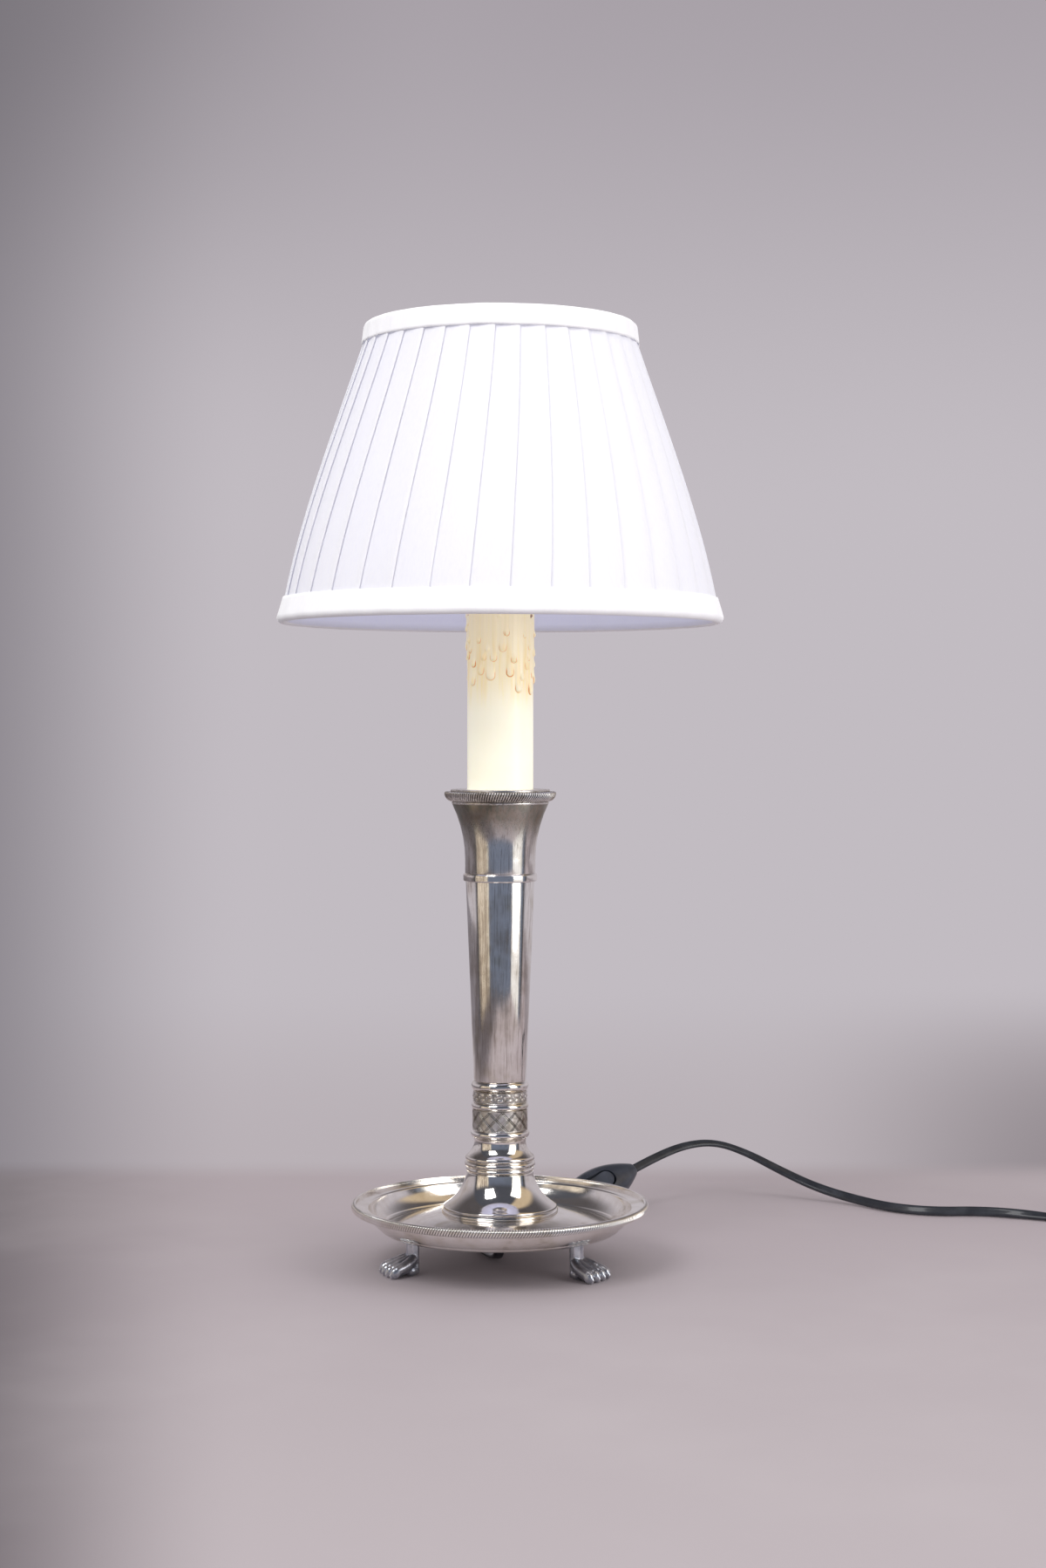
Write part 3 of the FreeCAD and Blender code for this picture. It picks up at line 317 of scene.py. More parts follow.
def makeCords(material):
    c = cords
    first = cordLine(c["lampToSwitch"])
    lead = flatCord("lead_lamp_to_switch", first, c["firstRolls"], c["firstLean"], material)
    seat(lead, "stand", "black_lead", "cord_lamp_to_switch")
    turns = coilPoints()
    heading = math.radians(c["coilHeading"])
    entry = turns[0] - Vector((math.cos(heading), math.sin(heading), 0)) * c["coilEntry"]
    plugEnd = Vector(c["plugEnd"])
    tail = [turns[-1] + Vector((0, c["coilLeave"], 0)), plugEnd - Vector((0, c["plugRun"], 0)), plugEnd]
    second = cordLine([Vector(p) for p in c["switchToCoil"]] + [entry] + turns + tail)
    long = flatCord("lead_switch_to_plug", second, c["secondRolls"], 0, material)
    seat(long, "stand", "black_lead", "cord_switch_to_coil", "cord_coil", "cord_coil_to_plug")
    return (lead, first), (long, second)


# the colour that shows as these values from 0 to 255
def tint(red, green, blue):
    def linear(v):
        v /= 255
        return v / 12.92 if v <= 0.04045 else ((v + 0.055) / 1.055) ** 2.4
    return (linear(red), linear(green), linear(blue), 1)


# an output socket that takes part in sums
class Wire:
    def __init__(self, paint, socket):
        self.paint = paint
        self.socket = socket

    def maths(self, operation, first, second=None):
        return self.paint.node("ShaderNodeMath", {"operation": operation}, {0: first, 1: second})

    def __add__(self, other):
        return self.maths("ADD", self, other)

    def __radd__(self, other):
        return self.maths("ADD", other, self)

    def __sub__(self, other):
        return self.maths("SUBTRACT", self, other)

    def __rsub__(self, other):
        return self.maths("SUBTRACT", other, self)

    def __mul__(self, other):
        return self.maths("MULTIPLY", self, other)

    def __rmul__(self, other):
        return self.maths("MULTIPLY", other, self)

    def __truediv__(self, other):
        return self.maths("DIVIDE", self, other)

    def __rtruediv__(self, other):
        return self.maths("DIVIDE", other, self)

    def __abs__(self):
        return self.maths("ABSOLUTE", self)

    def sine(self):
        return self.maths("SINE", self)

    # the angle whose tangent is this over the other
    def angle(self, other):
        return self.maths("ARCTAN2", self, other)

    # 0 at low, 1 at high, smooth between
    def rise(self, low, high):
        return self.paint.node("ShaderNodeMapRange", {"interpolation_type": "SMOOTHSTEP"},
                               {0: self, 1: low, 2: high, 3: 0, 4: 1})

    # 1 at the middle, 0 a width away on either side
    def bump(self, middle, width):
        return 1 - abs(self - middle).rise(0, width)


# the nodes of one material or world
class Paint:
    def __init__(self, owner):
        owner.use_nodes = True
        self.owner = owner
        self.tree = owner.node_tree
        self.tree.nodes.clear()

    def node(self, kind, settings=None, sockets=None, out=0):
        made = self.tree.nodes.new(kind)
        for key, value in (settings or {}).items():
            setattr(made, key, value)
        for key, value in (sockets or {}).items():
            if isinstance(value, Wire):
                self.tree.links.new(value.socket, made.inputs[key])
            elif value is not None:
                made.inputs[key].default_value = value
        return Wire(self, made.outputs[out]) if made.outputs else made

    def place(self, kind="Object"):
        return self.node("ShaderNodeTexCoord", out=kind)

    def parts(self, vector):
        return [self.node("ShaderNodeSeparateXYZ", None, {0: vector}, i) for i in range(3)]

    def stretched(self, vector, scale):
        return self.node("ShaderNodeVectorMath", {"operation": "MULTIPLY"}, {0: vector, 1: scale})

    def noise(self, vector, scale, detail=3, roughness=0.5):
        return self.node("ShaderNodeTexNoise", None, {
            "Vector": vector, "Scale": scale, "Detail": detail, "Roughness": roughness})

    def mix(self, factor, first, second):
        return self.node("ShaderNodeMix", {"data_type": "RGBA"}, {0: factor, 6: first, 7: second}, 2)

    def mixShader(self, factor, first, second):
        return self.node("ShaderNodeMixShader", None, {0: factor, 1: first, 2: second})

    def relief(self, height, depth, strength):
        return self.node("ShaderNodeBump", None, {
            "Height": height, "Distance": depth * mm, "Strength": strength})

    def surface(self, **sockets):
        named = {key.replace("_", " ").title().replace("Ior", "IOR"): value
                 for key, value in sockets.items()}
        return self.node("ShaderNodeBsdfPrincipled", None, named)

    def finish(self, shader):
        kind = "World" if isinstance(self.owner, bpy.types.World) else "Material"
        self.node("ShaderNodeOutput" + kind, None, {0: shader})
        return self.owner


def newPaint(name):
    return Paint(bpy.data.materials.new(name))


silverTones = {
    "bright": tint(247, 244, 241), "worn": tint(228, 221, 213), "olive": tint(176, 166, 130),
    "brown": tint(132, 118, 104), "dark": tint(58, 55, 54),
    "oliveBand": tint(112, 110, 92), "brownBand": tint(140, 126, 108),
    "castHollow": tint(148, 154, 166), "castFace": tint(200, 203, 210), "castRidge": tint(236, 237, 240),
}


# Plated and tarnished. stretch draws the streaks out along the piece, stain
# says how much of it has gone brown, olive gives the heights in mm between
# which the colour turns olive and brown in a band, and grime the depths of cut,
# in mm, between which the hollows go dark.
def silver(name, stretch=(1, 1, 1), stain=0.35, gloss=0.09, dents=0.03, drawnOut=0, olive=None, grime=None):
    t = silverTones
    p = newPaint(name)
    where = p.place()
    drawn = p.stretched(where, stretch)
    clouds = p.noise(where, 34, 4, 0.6)
    streaks = p.noise(drawn, 520, 4, 0.62)
    specks = p.noise(where, 900, 2)
    stained = (clouds * 0.55 + streaks * 0.45).rise(0.60 - 0.26 * stain, 0.74)
    colour = p.mix(clouds.rise(0.35, 0.7), t["bright"], t["worn"])
    colour = p.mix(stained * (0.25 + stain), colour, t["brown"])
    colour = p.mix(p.noise(where, 60, 2).rise(0.55, 0.75) * 0.35, colour, t["olive"])
    colour = p.mix((specks * streaks).rise(0.36, 0.5) * 0.5 * stain, colour, t["dark"])
    rough = gloss + stained * 0.16 + specks.rise(0.45, 0.8) * 0.06
    if olive:
        height = p.parts(where)[2]
        band = height.rise(olive[0] * mm, olive[1] * mm) * (0.45 + clouds * 0.7)
        colour = p.mix(band, colour, p.mix(streaks.rise(0.4, 0.6), t["oliveBand"], t["brownBand"]))
        rough = rough + band * 0.2
    if grime:
        cut = p.node("ShaderNodeAttribute", {"attribute_name": "cut"}, out="Fac").rise(*grime)
        colour = p.mix(cut * 0.85, colour, t["dark"])
        rough = rough + cut * 0.2
    scratches = p.noise(p.stretched(where, (1, 1, 0.12)), 2600, 2)
    waves = p.noise(where, 75, 2)
    fine = p.noise(drawn, 1500, 3, 0.6)
    if drawnOut:
        colour = p.mix(fine.rise(0.5, 0.7) * drawnOut, colour, t["brown"])
    height = scratches * 0.02 + waves * dents + specks * 0.02 + (streaks + fine * 0.5) * (0.22 * drawnOut)
    normal = p.relief(height, 0.4, 0.5)
    return p.finish(p.surface(base_color=colour, metallic=1.0, roughness=rough, normal=normal))


# Cast feet: blue-grey in the hollows, rubbed bright on the ridges
def castSilver(name):
    t = silverTones
    p = newPaint(name)
    where = p.place()
    edge = p.node("ShaderNodeNewGeometry", out="Pointiness").rise(0.49, 0.56)
    clouds = p.noise(where, 160, 5, 0.65)
    colour = p.mix(clouds.rise(0.35, 0.65), t["castHollow"], t["castFace"])
    colour = p.mix(edge * 0.8, colour, t["castRidge"])
    normal = p.relief(p.noise(where, 1400, 3) + clouds, 0.12, 0.5)
    return p.finish(p.surface(base_color=colour, metallic=1.0, roughness=0.34 - edge * 0.16, normal=normal))


def candleWax(name):
    p = newPaint(name)
    where = p.place()
    height = p.parts(where)[2]
    ochre = p.node("ShaderNodeAttribute", {"attribute_name": "ochre"}, out="Fac")
    runs = p.noise(p.stretched(where, (1, 1, 0.06)), 420, 3)
    wax = height.rise(0.318, 0.336)
    colour = p.mix(p.noise(where, 45, 3), tint(254, 252, 232), tint(253, 247, 220))
    colour = p.mix(height.rise(0.312, 0.345) * 0.75, colour, tint(250, 234, 190))
    colour = p.mix(wax * runs.rise(0.42, 0.66) * 0.7, colour, tint(244, 216, 156))
    colour = p.mix(height.rise(0.345, 0.368) * 0.75, colour, tint(250, 236, 196))
    colour = p.mix(ochre.rise(0.15, 0.85) * (0.75 + runs * 0.5), colour, tint(212, 136, 56))
    marks = p.noise(where, 170, 2).rise(0.63, 0.72) * height.bump(0.3725, 0.0022)
    colour = p.mix(marks, colour, tint(120, 84, 46))
    normal = p.relief(runs * wax + p.noise(where, 700, 2) * 0.15, 0.25, 0.35)
    # a glow in the wax's own colour is painted light: it brightens the whole sleeve, its top under the shade
    # too
    return p.finish(p.surface(
        base_color=colour, roughness=0.42 - wax * 0.08, normal=normal, subsurface_weight=0.12,
        subsurface_radius=(0.9, 0.6, 0.35), subsurface_scale=0.002, coat_weight=0.25, coat_roughness=0.2,
        emission_color=colour, emission_strength=0.3))


# Cloth of two crossed sets of threads, counted to the millimetre and, round
# the shade, at a radius of 100 mm. Some light comes through it, and a low glow
# stands for the daylight inside the shade.
def cloth(name, colour, threads=2.4, depth=0.05, through=0.38, glow=0.075):
    p = newPaint(name)
    where = p.place()
    x, y, z = p.parts(where)
    warp = (y.angle(x) * round(2 * math.pi * 100 * threads / 2)).sine()
    weft = (z * (2 * math.pi * threads / mm / 2)).sine()
    slubs = p.noise(p.stretched(where, (1, 1, 0.15)), 900, 3)
    weave = warp * weft * 0.5 + slubs
    fade = slubs.rise(0.35, 0.75) * 0.5 + 0.2 * p.noise(where, 30, 2)
    faded = p.mix(fade, colour, [v * 0.93 for v in colour[:3]] + [1])
    body = p.surface(base_color=faded, roughness=0.85, normal=p.relief(weave, depth, 0.6),
                     sheen_weight=0.15, sheen_roughness=0.5,
                     emission_color=tint(234, 235, 245), emission_strength=glow)
    back = p.node("ShaderNodeBsdfTranslucent", None, {"Color": colour})
    return p.finish(p.mixShader(through, body, back))


# Moulded black plastic, glossier where hands have rubbed it
def blackPlastic(name, tone, gloss, grain=0.03):
    p = newPaint(name)
    where = p.place()
    worn = p.noise(where, 120, 4)
    colour = p.mix(worn.rise(0.35, 0.7), tint(*tone), tint(*[v + 12 for v in tone]))
    dust = p.noise(where, 1800, 2).rise(0.68, 0.76)
    colour = p.mix(dust * 0.35, colour, tint(120, 118, 118))
    normal = p.relief(p.noise(where, 900, 3), grain, 0.5)
    return p.finish(p.surface(base_color=colour, roughness=gloss + worn * 0.12, normal=normal,
                              coat_weight=0.3, coat_roughness=0.12))


def plainFinish(name, first, second, metallic, gloss, scale=90, grain=0.03, **more):
    p = newPaint(name)
    where = p.place()
    clouds = p.noise(where, scale, 4)
    colour = p.mix(clouds.rise(0.3, 0.7), tint(*first), tint(*second))
    normal = p.relief(p.noise(where, scale * 12, 3), grain, 0.5)
    return p.finish(p.surface(base_color=colour, metallic=metallic, roughness=gloss + clouds * 0.08,
                              normal=normal, **more))


def makeFinishes():
    return {
        "shaft": silver("silver_shaft", (1, 1, 0.009), 0.5, 0.10, drawnOut=0.5),
        "cup": silver("silver_cup", (1, 1, 0.012), 0.5, 0.13, drawnOut=0.45, olive=(240, 259)),
        "turned": silver("silver_turned", stain=0.4),
        "bell": silver("silver_bell", (1, 1, 0.5), 0.16, 0.07, 0.02),
        "leaf": silver("silver_leaf", (1, 1, 1), 0.6, 0.24, grime=(0.12, 0.62)),
        "engraved": silver("silver_engraved", (1, 1, 1), 1.0, 0.26, grime=(0.02, 0.26)),
        "rope": silver("silver_rope", (1, 1, 1), 0.25, 0.15, grime=(0.14, 0.5)),
        "panRope": silver("silver_pan_rope", (1, 1, 1), 0.9, 0.24, grime=(0.06, 0.42)),
        "tray": silver("silver_tray", (0.3, 0.3, 1), 0.2, 0.14, 0.05),
        "pan": silver("silver_pan", (1, 1, 1), 0.8, 0.26),
        "cast": castSilver("silver_cast"),
        "wax": candleWax("candle_wax"),
        "shade": cloth("shade_cloth", tint(251, 251, 254)),
        "band": cloth("band_cloth", tint(251, 251, 254), 2.8, 0.04, 0.12, 0.05),
        "lining": cloth("lining_cloth", tint(240, 241, 252), 3.2, 0.03, 0.45, 0.2),
        "switch": blackPlastic("switch_plastic", (40, 44, 54), 0.28),
        "lead": blackPlastic("lead_plastic", (31, 34, 42), 0.36, 0.05),
        "steel": plainFinish("bright_steel", (168, 168, 170), (132, 130, 126), 1.0, 0.28),
        "brass": plainFinish("brass", (206, 172, 96), (168, 132, 66), 1.0, 0.25),
        "nickel": plainFinish("nickel", (196, 194, 188), (160, 158, 150), 1.0, 0.22),
        "ceramic": plainFinish("ceramic", (238, 236, 228), (226, 222, 212), 0.0, 0.3),
        "holder": plainFinish("holder_plastic", (240, 238, 232), (226, 222, 212), 0.0, 0.35),
        "wire": plainFinish("wire_cover", (120, 72, 44), (92, 54, 36), 0.0, 0.4),
        "frame": plainFinish("white_enamel", (240, 240, 240), (222, 222, 224), 0.0, 0.3),
        "cap": plainFinish("bulb_cap_metal", (200, 198, 190), (168, 166, 158), 1.0, 0.25),
        "glass": plainFinish("opal_glass", (248, 246, 240), (240, 238, 232), 0.0, 0.12, 30, 0.01,
                             coat_weight=0.5, coat_roughness=0.05),
    }


finishes = makeFinishes()
(lampCord, lampLine), (plugCord, plugLine) = makeCords(finishes["lead"])
print("finishes and cords made:", round(pathLength(lampLine), 3), round(pathLength(plugLine), 3), "m")


# What the silver mirrors in front of the lamp, by the angle from straight
# in front: a dark room, with wood and a thin gap of light at the left, and a
# tall light at the right
def roomLook(p, turn, grain, level):
    room = p.mix(level, tint(112, 120, 138), tint(74, 77, 88))
    wood = turn.bump(-1.08, 0.5).rise(0.0, 0.35)
    room = p.mix(wood, room, p.mix(grain.rise(0.42, 0.58), tint(126, 110, 96), tint(250, 236, 216)))
    room = p.mix(turn.bump(-0.74, 0.07), room, tint(236, 226, 206))
    room = p.mix(turn.rise(0.7, 0.76) * turn.rise(1.34, 1.28), room, tint(252, 250, 248))
    return p.mix(abs(turn).bump(1.52, 0.12), room, tint(66, 62, 60))


stage = {
    "wallFrom": 0.27, "wallTo": 0.35, "floorSize": 14, "paperEnd": -0.6, "paperSide": 0.5, "paperEdge": 0.05,
    # the darker tones for the wall's top and sides and for the floor's back and left are painted shade,
    # where less light falls
    "wall": tint(194, 188, 194), "wallFoot": tint(185, 177, 182), "wallHighShade": tint(166, 159, 166),
    "wallSideShade": tint(134, 129, 136), "floorFront": tint(163, 155, 159), "floorBack": tint(158, 148, 153),
    "floorSideShade": tint(92, 86, 91), "ambient": 1.2,
}
lamps = {
    "right": {"azimuth": 57, "distance": 1.45, "height": 0.8, "size": (0.75, 1.5), "power": 8.8},
    "left": {"azimuth": -36, "distance": 1.45, "height": 1.55, "size": (0.85, 0.85), "power": 15.5},
}


# the paper that the lamp stands on; further back it glows as the wall does
def makeFloor():
    p = newPaint("paper_floor")
    where = p.place()
    x, y = p.parts(where)[:2]
    far = y.rise(stage["wallFrom"], stage["wallTo"])
    clouds = p.noise(where, 3, 4, 0.6)
    # painted shade: the floor darkens a little towards the back
    colour = p.mix(y.rise(-0.5, 0.28), stage["floorFront"], stage["floorBack"])
    edge = x / (y - camera["place"][1])
    # painted shade: the floor and the wall darken towards the left, where less light falls
    leftShade = edge.rise(-0.1, -0.24) * y.rise(-1.3, -0.9)
    colour = p.mix(leftShade, colour, stage["floorSideShade"])
    colour = p.mix(clouds.rise(0.4, 0.75) * 0.12, colour, tint(196, 190, 192))
    paper = p.surface(base_color=colour, roughness=0.85, specular_ior_level=0.15,
                      normal=p.relief(p.noise(where, 45, 4), 0.6, 0.15))
    wall = p.mix(y.rise(0.3, 1.6), stage["wallFoot"], stage["wall"])
    # painted shade: the wall darkens towards the right, near its foot
    wall = p.mix(edge.rise(0.1, 0.24) * y.rise(1.6, 0.3), wall, tint(150, 142, 147))
    wall = p.mix(leftShade, wall, stage["wallSideShade"])
    glow = p.node("ShaderNodeEmission", None, {"Color": wall})
    seen = p.mixShader(far, paper, glow)
    # past the paper's edges the silver mirrors the room
    turn = x.angle(y * -1)
    grain = p.noise(p.node("ShaderNodeCombineXYZ", None, {0: turn * 9}), 3, 3)
    room = p.node("ShaderNodeEmission", None, {"Color": roomLook(p, turn, grain, 0.0)})
    end, side, fade = stage["paperEnd"], stage["paperSide"], stage["paperEdge"]
    past = 1 - y.rise(end, end + fade) * abs(x).rise(side + fade, side)
    glossy = p.node("ShaderNodeLightPath", out="Is Glossy Ray")
    shader = p.mixShader(glossy * past * y.rise(0.1, -0.1), seen, room)
    size = stage["floorSize"]
    corners = [(-size, -size, 0), (size, -size, 0), (size, size, 0), (-size, size, 0)]
    floor = addMesh("floor", corners, [(0, 1, 2, 3)], p.finish(shader))


def makeWorld():
    world = bpy.data.worlds.new("studio")
    bpy.context.scene.world = world
    p = Paint(world)
    way = p.place("Generated")
    x, y, z = p.parts(way)
    # what the camera sees: a paper wall, with painted shade darkening it towards its top and left
    wall = p.mix(z.rise(0.08, 0.32), stage["wall"], stage["wallHighShade"])
    edge = x / y
    wall = p.mix(edge.rise(-0.1, -0.24), wall, stage["wallSideShade"])
    wall = p.mix(edge.rise(-0.02, -0.24) * z.rise(0.12, 0.32) * 0.8, wall, tint(100, 96, 102))
    wall = p.mix(p.noise(way, 2.2, 3).rise(0.35, 0.7) * z.rise(0, 0.1) * 0.1, wall, tint(205, 199, 204))
    # what the silver mirrors: the room in front and the wall behind
    turn = x.angle(y * -1)
    grain = p.noise(p.node("ShaderNodeCombineXYZ", None, {0: turn * 9, 1: z * 0.6}), 3, 3)
    low = roomLook(p, turn, grain, z.rise(0.1, 0.9))
    room = p.mix(z.rise(0.35, 0.55), low, tint(76, 78, 86))
    back = p.mix(z.rise(0.25, 0.7), stage["wall"], tint(84, 80, 82))
    mirrored = p.mix(abs(turn).rise(1.5, 1.7), room, back)
    # a warm lit corner of the room, high up
    corner = z.rise(0.35, 0.5) * turn.rise(0.95, 1.25) * turn.rise(2.15, 1.8)
    mirrored = p.mix(corner * 0.85, mirrored, tint(214, 192, 160))
    light = "ShaderNodeLightPath"
    paper = p.node("ShaderNodeBackground", None, {0: wall})
    mirror = p.node("ShaderNodeBackground", None, {0: mirrored})
    soft = p.node("ShaderNodeBackground", None, {0: tint(236, 234, 233), 1: stage["ambient"]})
    shader = p.mixShader(p.node(light, out="Is Glossy Ray"), soft, mirror)
    seen = p.node(light, out="Is Camera Ray") + p.node(light, out="Is Transmission Ray")
    p.finish(p.mixShader(seen, shader, paper))


def makeLamps():
    for name, lamp in lamps.items():
        data = bpy.data.lights.new("lamp_" + name, "AREA")
        data.shape = "RECTANGLE"
        data.size, data.size_y = lamp["size"]
        data.energy = lamp["power"]
        light = addObject("lamp_" + name, data)
        turn, away = math.radians(lamp["azimuth"]), lamp["distance"]
        light.location = (away * math.sin(turn), -away * math.cos(turn), lamp["height"])
        light.rotation_euler = (Vector((0, 0, 0.2)) - light.location).to_track_quat("-Z", "Y").to_euler()
        light.visible_camera = False


makeFloor()
makeWorld()
makeLamps()
print("stage lit")


# lowest and highest point of a CAD node, in mm
def heights(node):
    low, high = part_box(node)
    return low.z / mm, high.z / mm


column = {"bore": 11.5, "hole": 5.3, "sheet": 1.2, "beadRoot": 0.35}


def bead(radius, node):
    low, high = heights(node)
    root = radius - (high - low) * column["beadRoot"]
    face = [(root, low), ((radius, (low + high) / 2), (root, high))]
    return [(column["bore"], low)] + face + [(column["bore"], high)]


# a wall of even thickness behind an outline that runs from inside to outside
def walled(outline, wall):
    front = flatOutline(outline)
    return front + offsetOutline(front, wall)[::-1]


# Outlines in mm: radius and height, from the inside bottom round to the
# inside top. The heights of the joints between the pieces come from the frame.
def makeColumn():
    hole, bore, sheet = column["hole"], column["bore"], column["sheet"]
    seatTop, stepTop = heights("bell_step_ring")
    bellTop, knopTop = heights("base_knop")
    neckTop = heights("scotia_neck")[1]
    shaftLow, shaftTop = heights("tapered_shaft")
    ringTop = heights("shaft_ring")[1]
    cupTop, panTop = heights("drip_pan")
    outlines = {
        "bell_step_ring": ("turned", [
            (26.6, seatTop), (33.0, seatTop), ((33.4, seatTop + 0.7), (33.1, seatTop + 1.5)),
            (32.5, stepTop), (26.6, stepTop)]),
        "bell_base": ("bell", walled([
            (32.6, stepTop), (32.6, stepTop + 1.1), (32.3, stepTop + 1.5),
            ((23.2, stepTop + 9.9), (19.2, bellTop - 0.9)),
            ((18.95, bellTop - 0.25), (18.3, bellTop)), (hole, bellTop)], -sheet)),
        "base_knop": ("turned", [
            (bore, bellTop), (19.0, bellTop), ((19.5, bellTop + 1.2), (19.0, bellTop + 2.4)),
            ((20.3, bellTop + 4.3), (19.1, bellTop + 6.1)), ((19.9, bellTop + 7.5), (19.4, knopTop)),
            (bore, knopTop)]),
        "scotia_neck": ("turned", [
            (bore, knopTop), (19.4, knopTop), ((16.3, knopTop + 3.36), (15.0, knopTop + 7.56)),
            ((15.0, knopTop + 9.03), (15.4, neckTop)), (bore, neckTop)]),
        "lower_bead": ("turned", bead(17.0, "lower_bead")),
        "middle_bead": ("turned", bead(16.5, "middle_bead")),
        "upper_bead": ("turned", bead(16.5, "upper_bead")),
        "tapered_shaft": ("shaft", [
            (15.0 - sheet, shaftLow), (15.0, shaftLow), (19.7, shaftTop), (19.7 - sheet, shaftTop)]),
        "shaft_ring": ("turned", [
            (hole, shaftTop), (20.7, shaftTop), (21.2, shaftTop + 0.5), (21.2, ringTop - 0.8),
            (20.4, ringTop), (hole, ringTop)]),
        "flared_cup": ("cup", walled([
            (20.15, ringTop), (20.15, ringTop + 7.8), ((22.1, ringTop + 24), (27.5, cupTop))], -sheet)),
        "drip_pan": ("pan", [
            (25.2, cupTop), (27.2, cupTop), ((27.8, cupTop + 0.75), (27.2, cupTop + 1.5)),
            (27.2, panTop - 1.2), (28.4, panTop - 1.2), (28.4, panTop - 0.7),
            ((28.3, panTop - 0.2), (27.8, panTop)), (hole, panTop), (hole, panTop - 1.8),
            (25.2, panTop - 1.8)]),
    }
    for node, (finish, outline) in outlines.items():
        piece = turned(node + "_finished", outline, material=finishes[finish])
        seat(piece, "stand", "silver_plate", node)
    print("column turned")


# height of a small round stroke, 0 at its foot and 1 along its back
def strokeShape(phase):
    t = 2 * (phase % 1) - 1
    return math.sqrt(max(0, 1 - t * t))


# ring of slanted strokes; the slant is in strokes over the ring's height
def ropeRing(name, outline, strokes, slant, depth, material, perStroke=10):
    points = flatOutline(outline)
    low, high = min(z for r, z in points), max(z for r, z in points)
    inner, outer = min(r for r, z in points), max(r for r, z in points)

    def relief(angle, radius, height):
        share = min(1, (radius - inner) / (outer - inner) * 1.6)
        phase = strokes * angle / (2 * math.pi) - slant * (height - low) / (high - low)
        return depth * share * (strokeShape(phase) - 1)
    return turned(name, outline, strokes * perStroke, 0.1, relief, material, 60)


ropes = {
    "trayStrokes": 332, "traySlant": 1.45, "trayDepth": 0.8,
    "panStrokes": 133, "panSlant": 1.4, "panDepth": 1.0,
}


def makeRopes():
    r = ropes
    low, high = heights("tray_rope_border")
    middle = (low + high) / 2
    tray = ropeRing("tray_rope_border_finished", [
        (82.7, low), (83.75, low), ((84.95, low + 0.9), (85.2, middle)),
        ((84.95, high - 0.9), (83.75, high)), (82.7, high)],
        r["trayStrokes"], r["traySlant"], r["trayDepth"], finishes["rope"])
    seat(tray, "stand", "silver_plate", "tray_rope_border")
    low, high = heights("drip_pan_rope_ring")
    pan = ropeRing("pan_rope_ring_finished", [
        (27.3, low), (28.3, low), ((31.1, low + 1.9), (32.0, high - 1.2)),
        ((31.8, high - 0.4), (31.1, high)), (27.3, high)],
        r["panStrokes"], r["panSlant"], r["panDepth"], finishes["panRope"])
    seat(pan, "stand", "silver_plate", "drip_pan_rope_ring")
    print("rope rings cut")


collars = {
    "lozenges": 13, "climb": 1.53, "offsets": (0.37, 0.512), "lozengeCut": 0.3,
    "lineWidth": 0.034, "lineGap": 0.15, "hatch": 0.05,
    "leaves": 18, "leafRise": 0.3, "around": 900,
}


def grooveAt(value):
    return math.exp(-(value / collars["lineWidth"]) ** 2)


# fine pricks over a turned face, from -1 to 1
def pricksAt(angle, radius, height, scale):
    return noise.noise((radius * math.cos(angle) * scale, radius * math.sin(angle) * scale, height * scale))


# double-line lattice over a finely pricked ground, between two plain edges
def lozengeRelief(angle, radius, height, low, high):
    c = collars
    up = (height - low) / (high - low)
    across = angle * c["lozenges"] / (2 * math.pi)
    cut = 0
    for way, offset in zip((1, -1), c["offsets"]):
        near = (across + way * up * c["climb"] - offset + 0.5) % 1 - 0.5
        cut += grooveAt(near - c["lineGap"] / 2) + grooveAt(near + c["lineGap"] / 2)
    edge = min(1, min(up, 1 - up) / 0.07)
    pricks = pricksAt(angle, radius, height, 2.6)
    return -(c["lozengeCut"] * min(cut, 1.2) + c["hatch"] * (1 + pricks)) * edge


# a running row of paired leaves with a pearl between them
def leafRelief(angle, radius, height, low, high):
    c = collars
    up = (height - low) / (high - low) * 2 - 1
    along = (angle * c["leaves"] / (2 * math.pi)) % 1 * 2 - 1
    rise = 0
    for side in (-1, 1):
        leafAlong = along + 0.1 * side + 0.25 * up * side
        leafUp = up * side - 0.42
        rise = max(rise, 1 - (leafAlong / 0.62) ** 2 - (leafUp / 0.33) ** 2)
    pearl = 1 - ((abs(along) - 1) / 0.2) ** 2 - (up / 0.3) ** 2
    rise = max(rise, pearl, 0) ** 0.5
    pricks = pricksAt(angle, radius, height, 2.2)
    edge = min(1, (1 - abs(up)) / 0.12)
    return (c["leafRise"] * (rise - 1) - 0.06 * (1 + pricks)) * edge


def makeCollars():
    for node, radius, rows, relief in (
            ("lozenge_collar", 15.85, 72, lozengeRelief), ("leaf_collar", 15.75, 44, leafRelief)):
        finish = finishes["leaf" if node == "leaf_collar" else "engraved"]
        low, high = heights(node)
        face = [(radius, low + (high - low) * row / rows) for row in range(rows + 1)]
        outline = [(column["bore"], low)] + face + [(column["bore"], high)]

        def shaped(angle, r, z, low=low, high=high, relief=relief):
            return relief(angle, r, z, low, high) if r > column["bore"] + 1 else 0
        piece = turned(node + "_finished", outline, collars["around"], 0.05, shaped, finish, 70)
        seat(piece, "stand", "silver_plate", node)
    print("collars engraved")


tray = {"border": 82.6}


def makeTray():
    seatTop = heights("bell_step_ring")[0]
    top = [
        (column["hole"], seatTop), (33.8, seatTop), ((48.95, 28.6), (64.1, 23.9)),
        ((66.5, 23.0), (68.7, 24.6)),
        ((72.73, 28.55), (75.2, 34.0)), ((75.7, 34.9), (76.6, 35.2)), (tray["border"], 36.2)]
    piece = turned("tray_finished", walled(top, column["sheet"]), 360, 0.15, material=finishes["tray"])
    seat(piece, "stand", "silver_plate", "tray")
    print("tray spun")


